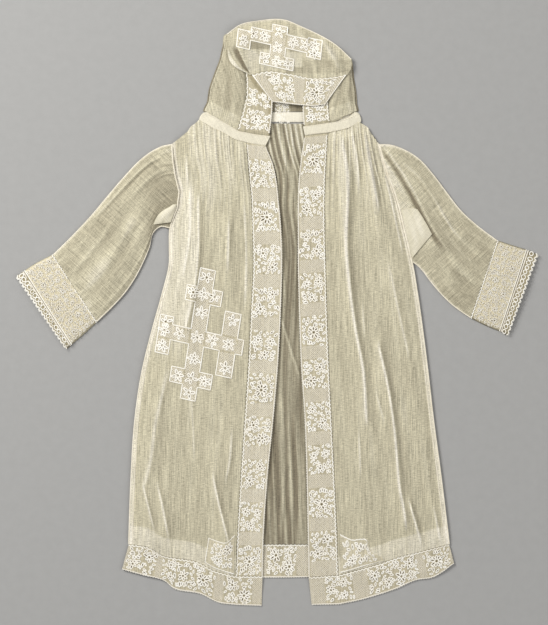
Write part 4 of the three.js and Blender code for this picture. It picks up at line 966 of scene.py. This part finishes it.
class Patch:
    """A place on a sheet with its own slanted axes, for lace that isn't a band."""

    def __init__(self, sheet, centre, arm, stem):
        self.sheet = sheet
        self.centre, self.axes = np.array(centre), np.array([arm, stem])

    def at(self, s, t, lift):
        plan = self.centre + np.stack([s, t], -1) @ self.axes
        z = heights(None, plan.reshape(1, -1, 2), self.sheet).reshape(np.shape(s))
        return raised(plan, z + lift)


class Threads:
    """Collects thread ribbons and joins them into one mesh."""

    def __init__(self):
        self.points, self.faces, self.count = [], [], 0

    def ribbon(self, surface, path, half, crown=0.3, closed=False, lift=LIFT):
        path = np.asarray(path, float)
        if closed:
            path = np.concatenate([path, path[:1]])
        slope = np.gradient(path, axis=0)
        slope /= np.maximum(lengths(slope), 1e-6)[:, None]
        normal = np.stack([-slope[:, 1], slope[:, 0]], -1) * np.broadcast_to(half, len(path))[:, None]
        across = np.stack([path - normal, path, path + normal], 1)
        rise = np.broadcast_to([0, crown, 0], across.shape[:2])
        self.points.append(surface.at(across[..., 0], across[..., 1], lift + rise).reshape(-1, 3))
        base = self.count + 3 * np.arange(len(path) - 1)[:, None]
        for k in (0, 1):
            self.faces.append(base + np.array([k, k + 1, k + 4, k + 3]))
        self.count += 3 * len(path)

    def make(self, name, material, slot):
        points, faces = np.concatenate(self.points) * MM, np.concatenate(self.faces)
        mesh = bpy.data.meshes.new(name)
        mesh.from_pydata(points.tolist(), [], faces.tolist())
        mesh.polygons.foreach_set("use_smooth", np.ones(len(faces), bool))
        return add_piece(name, mesh, material)


# %% [markdown]
# ### Flower blocks
# The motifs are ordinary lace flowers: petals round an open eye, with loose leaves in the space between
# them. A petal or leaf is a loop of cord with a narrow slit down its middle. The slits and eyes are dark
# ribbons of painted shade. Thin bars cross the plain net.

# %% Motifs
def turned(points, centre, angle):
    c, s = math.cos(angle), math.sin(angle)
    return np.asarray(points, float) @ np.array([[c, s], [-s, c]]) + centre


def round_points(count):
    a = np.linspace(0, 2 * math.pi, count + 1)[:-1]
    return np.stack([np.cos(a), np.sin(a)], -1)


def petal(lace, surface, centre, angle, near, far, broad):
    """A petal or leaf between two radii: a cord round it and an open slit down its middle, drawn dark as
    painted shade.
    """
    lace.taken.append(turned([(near, 0), ((near + far) / 2, 0), (far, 0)], centre, angle))
    k = np.linspace(0, 1, 6)
    slit = np.stack([near + (far - near) * (0.12 + 0.72 * k), np.zeros(6)], -1)
    half = OPENING + lace.slit * broad * np.sin(math.pi * k)
    lace.shaded_openings.ribbon(surface, turned(slit, centre, angle), half, 0, lift=OPENING)
    x, y = round_points(12).T
    rim = np.stack([(near + far) / 2 + (far - near) / 2 * x, broad * y * (1 - 0.3 * x)], -1)
    lace.cords.ribbon(surface, turned(rim, centre, angle), lace.cord, 0.22, closed=True, lift=LIFT + 0.06)


def flower(lace, surface, centre, radius, petals, rng):
    """Petals round a small open eye, each a little longer or shorter than the next."""
    broad = 0.16 * radius
    first = rng.uniform(0, 2 * math.pi)
    for i in range(petals):
        angle = first + 2 * math.pi * (i + rng.uniform(-0.24, 0.24)) / petals
        far = radius * rng.uniform(0.75, 1.12)
        petal(lace, surface, centre, angle, 0.26 * radius, far, broad * rng.uniform(0.8, 1.2))
    k = np.linspace(-1, 1, 5)
    eye = centre + 0.13 * radius * np.stack([k, 0 * k], -1)
    lace.shaded_openings.ribbon(surface, eye, OPENING + 0.13 * radius * np.sqrt(1 - k ** 2), 0, lift=OPENING)


def loose_leaves(lace, surface, centre, half, size, tries, rng):
    """Leaves that fill what is left of a block, each clear of the loops before it."""
    for _ in range(tries):
        base = centre + half * rng.uniform(-1, 1, 2)
        heading = math.atan2(base[1] - centre[1], base[0] - centre[0]) + rng.uniform(-1.2, 1.2)
        long = size * rng.uniform(0.7, 1.1)
        stations = turned([(0, 0), (long / 2, 0), (long, 0)], base, heading)
        gaps = stations[:, None] - np.concatenate(lace.taken)[None]
        if np.all(np.abs(stations - centre) < half) and lengths(gaps).min() > CLEAR * size:
            petal(lace, surface, base, heading, 0, long, 0.2 * long)


def bars(threads, surface, s0, s1, t0, t1, pitch, half, seed):
    """Thin bars that cross a block slantwise both ways, a little out of true."""
    rng = np.random.default_rng(seed)
    for sign in (1, -1):
        near = s0 if sign > 0 else s1
        for offset in np.arange(t0 - t1, s1 - s0, pitch):
            shift = offset + rng.uniform(-0.12, 0.12) * pitch
            begin, end = max(t0, t0 - shift), min(t1, t0 - shift + s1 - s0)
            if end - begin > pitch / 2:
                t = np.linspace(begin, end, max(3, int((end - begin) / 3.5)))
                path = np.stack([near + sign * (shift + t - t0), t], -1)
                threads.ribbon(surface, path, half, 0.08, lift=0.06)


# Common layouts of a block: place and size of each flower, as shares of its half sizes, and number of petals
BLOCK_LAYOUTS = [
    [(0.02, 0.05, 0.6, 9)],
    [(0.36, 0.48, 0.5, 8), (-0.4, -0.46, 0.5, 7)],
    [(-0.42, 0.46, 0.5, 8), (0.42, -0.5, 0.46, 7)],
    [(0.05, 0.58, 0.44, 7), (0.52, -0.3, 0.42, 7), (-0.5, -0.42, 0.44, 8)],
]
LEAF = 4.6  # length of a loose leaf, mm
CLEAR = 0.32  # space between neighbouring loops, as a share of a leaf
TRIES = 700  # places tried for leaves in a block


class Lace:
    """Three meshes of one piece of lace: the raised cords, the thin bars between them and the open slits,
    drawn as dark ribbons of painted shade.
    """

    def __init__(self, cord=CORD, slit=0.5):
        self.cord = cord  # half the width of a cord
        self.slit = slit  # half the width of a slit, as a share of its petal's half breadth
        self.cords, self.fill, self.shaded_openings = Threads(), Threads(), Threads()
        self.taken = []  # stations of the petals and leaves of the block in work

    def make(self, name):
        made = [self.cords.make(f"{name}_cords", lace_thread, "lace")]
        made += [self.fill.make(f"{name}_fill", net_thread, "lace")] if self.fill.points else []
        made += [self.shaded_openings.make(f"{name}_openings", lace_opening_shade, "lace")] if self.shaded_openings.points else []
        return made


def flower_block(lace, surface, centre, wide, long, seed, leaf=LEAF):
    """One block of lace in one of the layouts, with small turns that go by its number."""
    rng = np.random.default_rng(seed)
    centre, half = np.array(centre, float), np.array([wide, long]) / 2
    lace.taken = []
    for x, y, size, petals in BLOCK_LAYOUTS[seed % len(BLOCK_LAYOUTS)]:
        place = np.array([x, y]) + rng.uniform(-0.06, 0.06, 2)
        flower(lace, surface, centre + half * place, size * half.min(), petals, rng)
    loose_leaves(lace, surface, centre, half, leaf, TRIES, rng)


# %% Edges and whole bands
def corded_edge(threads, surface, s, length, wave, period, half, crown=0.25):
    """A thick cord along a band, waving in small scallops."""
    t = np.linspace(0, length, max(8, int(length / period * 6)))
    threads.ribbon(surface, np.stack([s + wave * np.abs(np.sin(math.pi * t / period)), t], -1), half, crown)


def picots(threads, surface, s, length, pitch, size):
    """Tiny loops that stand out from an edge."""
    a = np.linspace(0, math.pi, 6)
    for t in np.arange(pitch / 2, length, pitch):
        threads.ribbon(surface, np.stack([s + size * np.sin(a), t + 0.36 * pitch * np.cos(a)], -1), 0.2, 0.3)


BLOCK, GAP = 31.0, 13.7  # length of a flower block and of the plain net after it
MARGIN = 1.8  # plain strip inside each edge
FLOWER_TONE, NET_TONE = 0.25, 0.22  # the plain squares of net look a little greyer


def lace_band(row):
    """A whole band: net sheet, blocks of flowers and squares of net, and its two edges."""
    name, node, seed = row["name"], row["node"], row["seed"]
    across = row.get("across", 16)
    strip = Strip(node, row["corners"], across, row["down"])
    blocks = row.get("blocks")
    if blocks is None:
        starts = np.arange(row["first"], strip.length - BLOCK * 0.9, BLOCK + GAP)
        blocks = [(t, t + BLOCK) for t in starts]
    place = np.linspace(0, strip.length, row["down"] + 1)[:, None]
    open_net = sum(ease(place, a - 1, a + 1) * (1 - ease(place, b - 1, b + 1)) for a, b in blocks)
    facing = row.get("facing", 0) * ease(np.linspace(0, 1, across + 1)[None], 0.45, 0.5)
    tone = NET_TONE + (FLOWER_TONE - NET_TONE) * open_net + facing
    # A painted shadow of the flap: a dark line just beside the flap's edge on this band.
    if "flap_shadow_edge" in row:
        tone = tone - 0.9 * np.exp(-((side_of(strip.plan, row["flap_shadow_edge"]) + 1.2) / 1.4) ** 2)
    grid, tone = strip.points, np.broadcast_to(tone, strip.z.shape)
    if row.get("under_neck"):
        grid, tone = with_allowance(grid, tone, 0, np.ones(grid.shape[1]))
    ground = sheet_mesh(f"{name}_net", [(grid, tone, 0)], net_ground, [node])
    lace = Lace()
    s0, s1 = MARGIN, strip.width - MARGIN
    for number, (a, b) in enumerate(blocks):
        flower_block(lace, strip, (strip.width / 2, (a + b) / 2), s1 - s0, b - a, seed + number)
    stops = [0, *[t for pair in blocks for t in pair], strip.length]
    for a, b in zip(stops[::2], stops[1::2]):
        if b - a > 1.5 and "flap_shadow_edge" not in row:
            bars(lace.fill, strip, s0, s1, a, b, 2.1, 0.17, seed)
    for t in row.get("cord_ends", []):
        s = np.linspace(0, strip.width, 24)
        lace.cords.ribbon(strip, np.stack([s, 0 * s + t * (strip.length - 0.8) + 0.4], -1), 0.5, 0.25)
    corded_edge(lace.cords, strip, 0.2, strip.length, 1.3, 4.0, 0.5)
    corded_edge(lace.fill, strip, strip.width - 0.6, strip.length, 0, 4, 0.5)
    picots(lace.cords, strip, strip.width - 0.5, strip.length, 2.6, 0.8)
    return ground, lace.make(name)


# %% Bands down the fronts, round the hem and at the face of the hood
LACE_BANDS = [
    {"name": "front_band_left_lace", "node": "front_band_left", "first": 14.6, "seed": 3, "down": 300,
     "facing": 0.12, "under_neck": True,
     "corners": [(-32, 175), (-13, 173), (-15, -273), (-43, -273)]},
    {"name": "front_band_right_lace", "node": "front_band_right", "first": 8, "seed": 4, "down": 300,
     "under_neck": True, "corners": [(53, 185), (29, 182), (33, -274), (64, -272)]},
    {"name": "hem_lace_left_band", "node": "hem_lace_left", "seed": 6, "down": 110,
     "blocks": [(2, 33), (40, 69), (69, 98), (108, 138)],
     "corners": [(-154, -240), (-161, -266), (-16, -304), (-15, -273)]},
    {"name": "hem_lace_right_band", "node": "hem_lace_right", "seed": 8, "down": 110,
     "blocks": [(2, 30), (38, 64), (64, 92), (108, 138)],
     "corners": [(179, -240), (184, -260), (36, -303), (33, -274)]},
    {"name": "back_hem_lace_band", "node": "back_hem_lace", "first": 12.9, "seed": 10, "down": 180,
     "corners": [(-154, -240), (-161, -266), (184, -260), (179, -240)]},
    {"name": "hood_band_left_lace", "node": "hood_band_left", "seed": 12, "down": 60, "across": 48,
     "under_neck": True, "blocks": [(1, 22), (25, 42)], "flap_shadow_edge": FLAP_EDGE,
     "corners": [(-41, 191), (-8, 187), (-12, 243), (-34, 258)]},
    {"name": "hood_band_right_lace", "node": "hood_band_right", "seed": 14, "down": 30, "under_neck": True,
     "blocks": [(1, 24)], "corners": [(55, 200), (28, 196), (27, 223), (53, 223)]},
    {"name": "hood_band_crown_lace", "node": "hood_band_crown", "seed": 15, "down": 60,
     "blocks": [(10, 34), (44, 70)], "cord_ends": [0, 1],
     "corners": [(-26, 247), (-5, 220), (50, 217), (72, 247)]},
]
bands = {row["node"]: lace_band(row) for row in LACE_BANDS}
face_lace = Lace(0.3)  # lace on the back of the hood, seen in the face opening
flower_block(face_lace, Patch(hood, (5.5, 209), (1, 0), (0, 1)), (0, 0), 15, 26, 17, 0.7 * LEAF)
hood_inside = face_lace.make("hood_back_lace")

# %% [markdown]
# ### Cuffs
# The cuff lace is sewn round the sleeve, and an openwork edging of small round holes is sewn to the cuff.
# Both are flattened tubes like the sleeve, so their net goes all round and the flowers lie on top.

# %% Cuffs and edgings
def net_tube(name, node, corners, tone, net):
    plan, top, lower_plan = flat_tube(node, corners, 40, 16, 12)
    lower = raised(lower_plan, np.full(lower_plan.shape[:2], FLOOR_GAP))
    ring = np.concatenate([raised(plan, top - 0.3), lower], 1)
    return sheet_mesh(f"{name}_net", [(ring, tone, 0)], net, [node], loop=True)


def cuff(name, node, corners, seed):
    """corners: sewn edge top, outer edge top, outer edge under, sewn edge under."""
    ground = net_tube(name, node, [corners[0], corners[3], corners[2], corners[1]], 0.3, fine_net)
    strip = Strip(node, corners, 16, 60, 0.1)
    lace = Lace(0.22, 0.16)
    edge, across, count = 1.6, 2, 6
    wide, long = (strip.width - 2 * edge) / across, (strip.length - 2 * edge) / count
    for i in range(across * count):
        place = (edge + wide * (i % across + 0.5), edge + long * (i // across + 0.5))
        flower_block(lace, strip, place, wide, long, seed + i, 0.7 * LEAF)
    corded_edge(lace.cords, strip, -0.4, strip.length, 1.2, 3.6, 0.5, 0.4)
    corded_edge(lace.cords, strip, strip.width - 0.8, strip.length, 0, 3.6, 0.5)
    return ground, lace.make(name)


def edging(name, node, corners, seed):
    """Openwork: a row of rings between two cords, with a scalloped outer edge."""
    ground = net_tube(name, node, [corners[0], corners[3], corners[2], corners[1]], 0.0, net_ground)
    strip = Strip(node, corners, 8, 50, 0.1)
    lace = Lace()
    ring_pitch = 5.0
    rng = np.random.default_rng(seed)
    for t in np.arange(ring_pitch / 2, strip.length, ring_pitch):
        middle = (strip.width * 0.5, t) + rng.uniform(-0.4, 0.4, 2)
        loop = middle + rng.uniform(1.7, 2.4, 2) * round_points(12)
        lace.cords.ribbon(strip, loop, rng.uniform(0.35, 0.55), 0.3, closed=True)
    corded_edge(lace.fill, strip, 0.7, strip.length, 0, 3, 0.6)
    corded_edge(lace.cords, strip, strip.width - 0.8, strip.length, 1.6, ring_pitch, 0.55)
    picots(lace.cords, strip, strip.width + 0.6, strip.length, ring_pitch, 1.2)
    return ground, lace.make(name)


CUFFS = [
    ("cuff_lace_left", [(-233, 61), (-263, 44), (-214, -33), (-187, -9)], 21),
    ("cuff_lace_right", [(229, 76), (260, 66), (232, -19), (201, -5)], 25),
]
EDGINGS = [
    ("cuff_edging_left", [(-263, 44), (-270, 39), (-218, -37), (-214, -33)], 21),
    ("cuff_edging_right", [(260, 66), (270, 62), (239, -23), (232, -19)], 22),
]
for node, corners, seed in CUFFS:
    bands[node] = cuff(f"{node}_band", node, corners, seed)
for node, corners, seed in EDGINGS:
    bands[node] = edging(f"{node}_band", node, corners, seed)

# %% [markdown]
# ### Corner pieces and crosses
# A shaped piece of lace strengthens each front hem corner. The crosses on one front and on the hood are
# cut from narrow lace and sewn down flat. Their net has the outline of its solid and lies close on the
# cloth below, and their flowers sit along the bars.

# %% Corner pieces
APPLIED = 0.3  # height of the lace above the cloth it is sewn to
CORNERS = [
    ("corner_lace_left", [(-44, -230), (-71, -233), (-75, -258), (-45, -271)], 33, front_left),
    ("corner_lace_right", [(65, -229), (111, -254), (111, -256), (66, -269)], 34, front_right),
]
for node, corners, seed, under in CORNERS:
    name = f"{node}_piece"
    strip = Strip(node, corners, 24, 24)
    strip.points = raised(strip.plan, relax(heights(None, strip.plan, under), 4) + APPLIED)
    ground = sheet_mesh(f"{name}_net", [(strip.points, 0.4, 0)], net_ground, [node])
    lace = Lace()
    middle = (strip.width * 0.45, strip.length * 0.5)
    flower_block(lace, strip, middle, strip.width * 0.8, strip.length * 0.84, seed)
    for t in (0.4, strip.length - 0.4):
        s = np.linspace(0, strip.width, 60)
        lace.cords.ribbon(strip, np.stack([s, t + 0.4 * np.abs(np.sin(s * math.pi / 3.2))], -1), 0.45, 0.2)
    corded_edge(lace.cords, strip, strip.width - 0.6, strip.length, 0.4, 3.2, 0.45)
    bands[node] = (ground, lace.make(name))


# %% Crosses
def applied(name, node, under, tone):
    """The top of a solid as a sheet of its own, laid close on the cloth under it."""
    mesh = bmesh.new()
    mesh.from_mesh(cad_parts[node].data)
    bmesh.ops.remove_doubles(mesh, verts=mesh.verts, dist=1e-6)
    mesh.normal_update()
    bmesh.ops.delete(mesh, geom=[f for f in mesh.faces if f.normal.z < FACE_TILT], context="FACES")
    bmesh.ops.subdivide_edges(mesh, edges=mesh.edges, cuts=2, use_grid_fill=True)
    places = np.array([vert.co.xy for vert in mesh.verts]) / MM
    for vert, z in zip(mesh.verts, heights(None, places[None], under)[0]):
        vert.co.z = (z + APPLIED) * MM
    data = bpy.data.meshes.new(name)
    mesh.to_mesh(data)
    mesh.free()
    data.materials.clear()
    data.attributes.new("tone", "FLOAT", "POINT").data.foreach_set("value", np.full(len(data.vertices), tone))
    uv = data.uv_layers.new(name="weave")
    for corner in data.loops:
        uv.data[corner.index].uv = data.vertices[corner.vertex_index].co.xy / MM
    return add_piece(name, data, net_ground, [node])


# bars: lowest and highest place across and down, from the middle of the cross, along its own arms
CROSSES = [
    {"name": "front_cross_lace", "node": "front_cross", "centre": (-82.7, -26.1),
     "arm": (0.976, -0.216), "stem": (0.155, 0.988),
     "under": front_left, "size": 6.8, "tone": 0.26, "seed": 61,
     "bars": [(-8, 8, -66, 73), (-19, -8, 37, 53), (8, 19, 37, 53), (-22, -8, -51, -35),
              (8, 22, -51, -35), (-42, -8, -8, 8), (8, 49, -8, 8), (25, 42, 8, 34),
              (25, 42, -34, -8), (-42, -28, -24, -8), (-42, -28, 8, 16)],
     "flowers": [(0, 63), (0, 45), (-11.5, 45), (11.5, 45), (0, 26), (0, 0), (-19, 0),
                 (-35, 0), (-35, -16), (-35, 9), (16, 0), (33.5, 0), (33.5, 25), (33.5, -25),
                 (0, -22), (0, -43), (-14, -43), (14, -43), (0, -58)]},
    {"name": "hood_cross_lace", "node": "hood_cross", "centre": (2, 283.4),
     "arm": (0.976, -0.216), "stem": (0.1, 0.995),
     "under": crown, "size": 6.0, "tone": 0.28, "seed": 62,
     "bars": [(-8, 8, -29, 15), (-18, -8, -29, -17), (8, 18, -29, -17), (-30, -8, -7, 7), (8, 46, -7, 7),
              (-44, -30, -17, 2)],
     "flowers": [(0, 8), (0, -9), (0, -23), (-12, -23), (12, -23), (-15, 0), (-27, 0), (-37, -9),
                 (15, 0), (28, 0), (38.5, 2), (38.5, -6)]},
]
for row in CROSSES:
    ground = applied(f"{row['name']}_net", row["node"], row["under"], row["tone"])
    surface = Patch(ground, row["centre"], row["arm"], row["stem"])
    lace = Lace(0.58)
    rng = np.random.default_rng(row["seed"])
    for i, place in enumerate(row["flowers"]):
        flower(lace, surface, np.array(place, float), row["size"], 5 + i % 3, rng)
    ring = rims(row["node"])[0]
    local = (np.concatenate([ring, ring[:1]]) - surface.centre) @ np.linalg.inv(surface.axes)
    stations = np.concatenate([np.linspace(a, b, 4)[:-1] for a, b in zip(local[:-1], local[1:])])
    lace.cords.ribbon(surface, stations * 0.985, 0.55, 0.2, closed=True)
    for s0, s1, t0, t1 in row["bars"]:
        bars(lace.fill, surface, s0 + 1, s1 - 1, t0 + 1, t1 - 1, 2.6, 0.2, row["seed"])
    bands[row["node"]] = (ground, lace.make(row["name"]))

# %% [markdown]
# ## Seams and stitches
# The side seams and the sleeve edges are rolled and felled, which leaves a thin, lighter cord along each
# edge. Small running stitches hold the turned hem and the neckband.

# %% Rolled seams
class Line:
    """A surface made of one line of points: t runs along it and s beside it, both in millimetres."""

    def __init__(self, points):
        self.points = points
        self.run = np.concatenate([[0], np.cumsum(lengths(np.diff(points[:, :2], axis=0)))])
        slope = np.gradient(points[:, :2], axis=0)
        slope /= np.maximum(lengths(slope), 1e-9)[:, None]
        self.beside = np.stack([-slope[:, 1], slope[:, 0]], -1)
        self.length = self.run[-1]

    def at(self, s, t, lift):
        place = [np.interp(t, self.run, self.points[:, k]) for k in range(3)]
        beside = [np.interp(t, self.run, self.beside[:, k]) for k in range(2)]
        return np.stack([place[0] + s * beside[0], place[1] + s * beside[1], place[2] + lift], -1)


def rolled(threads, points, half=0.6, crown=0.5, lift=0.05):
    line = Line(points)
    t = np.linspace(0, line.length, max(8, int(line.length / 3)))
    threads.ribbon(line, np.stack([0 * t, t], -1), half, crown, lift=lift)


def stitches(threads, points, pitch=2.4, long=1.3, half=0.17, lift=0.15):
    line = Line(points)
    for t in np.arange(pitch, line.length - pitch, pitch):
        threads.ribbon(line, [(0, t), (0, t + long / 2), (0, t + long)], half, 0.2, lift=lift)


seams = Threads()
left_points, right_points = raised(left_plan, left_z), raised(right_plan, right_z)
for points in (left_points, right_points):
    rolled(seams, points[:, 0], 0.7)
    rolled(seams, points[:, 6], 0.45)
    stitches(seams, points[-10])
for points in (raised(sleeve_left_plan, sleeve_left_z), raised(sleeve_right_plan, sleeve_right_z)):
    rolled(seams, points[:, 1], 0.6)
    rolled(seams, points[:, -2], 0.6)
    rolled(seams, points[0], 0.7)
for plan in (neck_left_plan, neck_right_plan):
    z = padded_strip("neckband", plan)
    for row in (1, -2):
        stitches(seams, raised(plan, z)[row], lift=0.25)
rolled(seams, raised(crown_plan, crown_z)[1], 0.5)
seam_piece = seams.make("rolled_seams", seam_thread, "lawn")

# %% [markdown]
# ## What each sheet was cut from
# Each lace piece is listed with the flat size of what shows of it, and the share of that rectangle which
# the cloth fills. Gathers and creases take up cloth, so a gathered sheet is wider than its outline.


LACE_FLATS = {  # width, length and the share that is filled
    "front_band_left": (0.029, 0.455, 1.0), "front_band_right": (0.029, 0.462, 1.0),
    "back_hem_lace": (0.031, 0.345, 1.0), "hem_lace_left": (0.031, 0.150, 1.0),
    "hem_lace_right": (0.031, 0.155, 1.0), "hood_band_left": (0.031, 0.064, 1.0),
    "hood_band_right": (0.027, 0.026, 1.0), "hood_band_crown": (0.030, 0.098, 0.8),
    "cuff_lace_left": (0.032, 0.182, 1.0), "cuff_lace_right": (0.033, 0.182, 1.0),
    "cuff_edging_left": (0.010, 0.182, 0.8), "cuff_edging_right": (0.010, 0.182, 0.9),
    "corner_lace_left": (0.031, 0.038, 0.8), "corner_lace_right": (0.046, 0.040, 0.6),
    "front_cross": (0.092, 0.139, 0.4), "hood_cross": (0.090, 0.045, 0.5),
}
for node, (width, length, share) in LACE_FLATS.items():
    ground, pieces = bands[node]
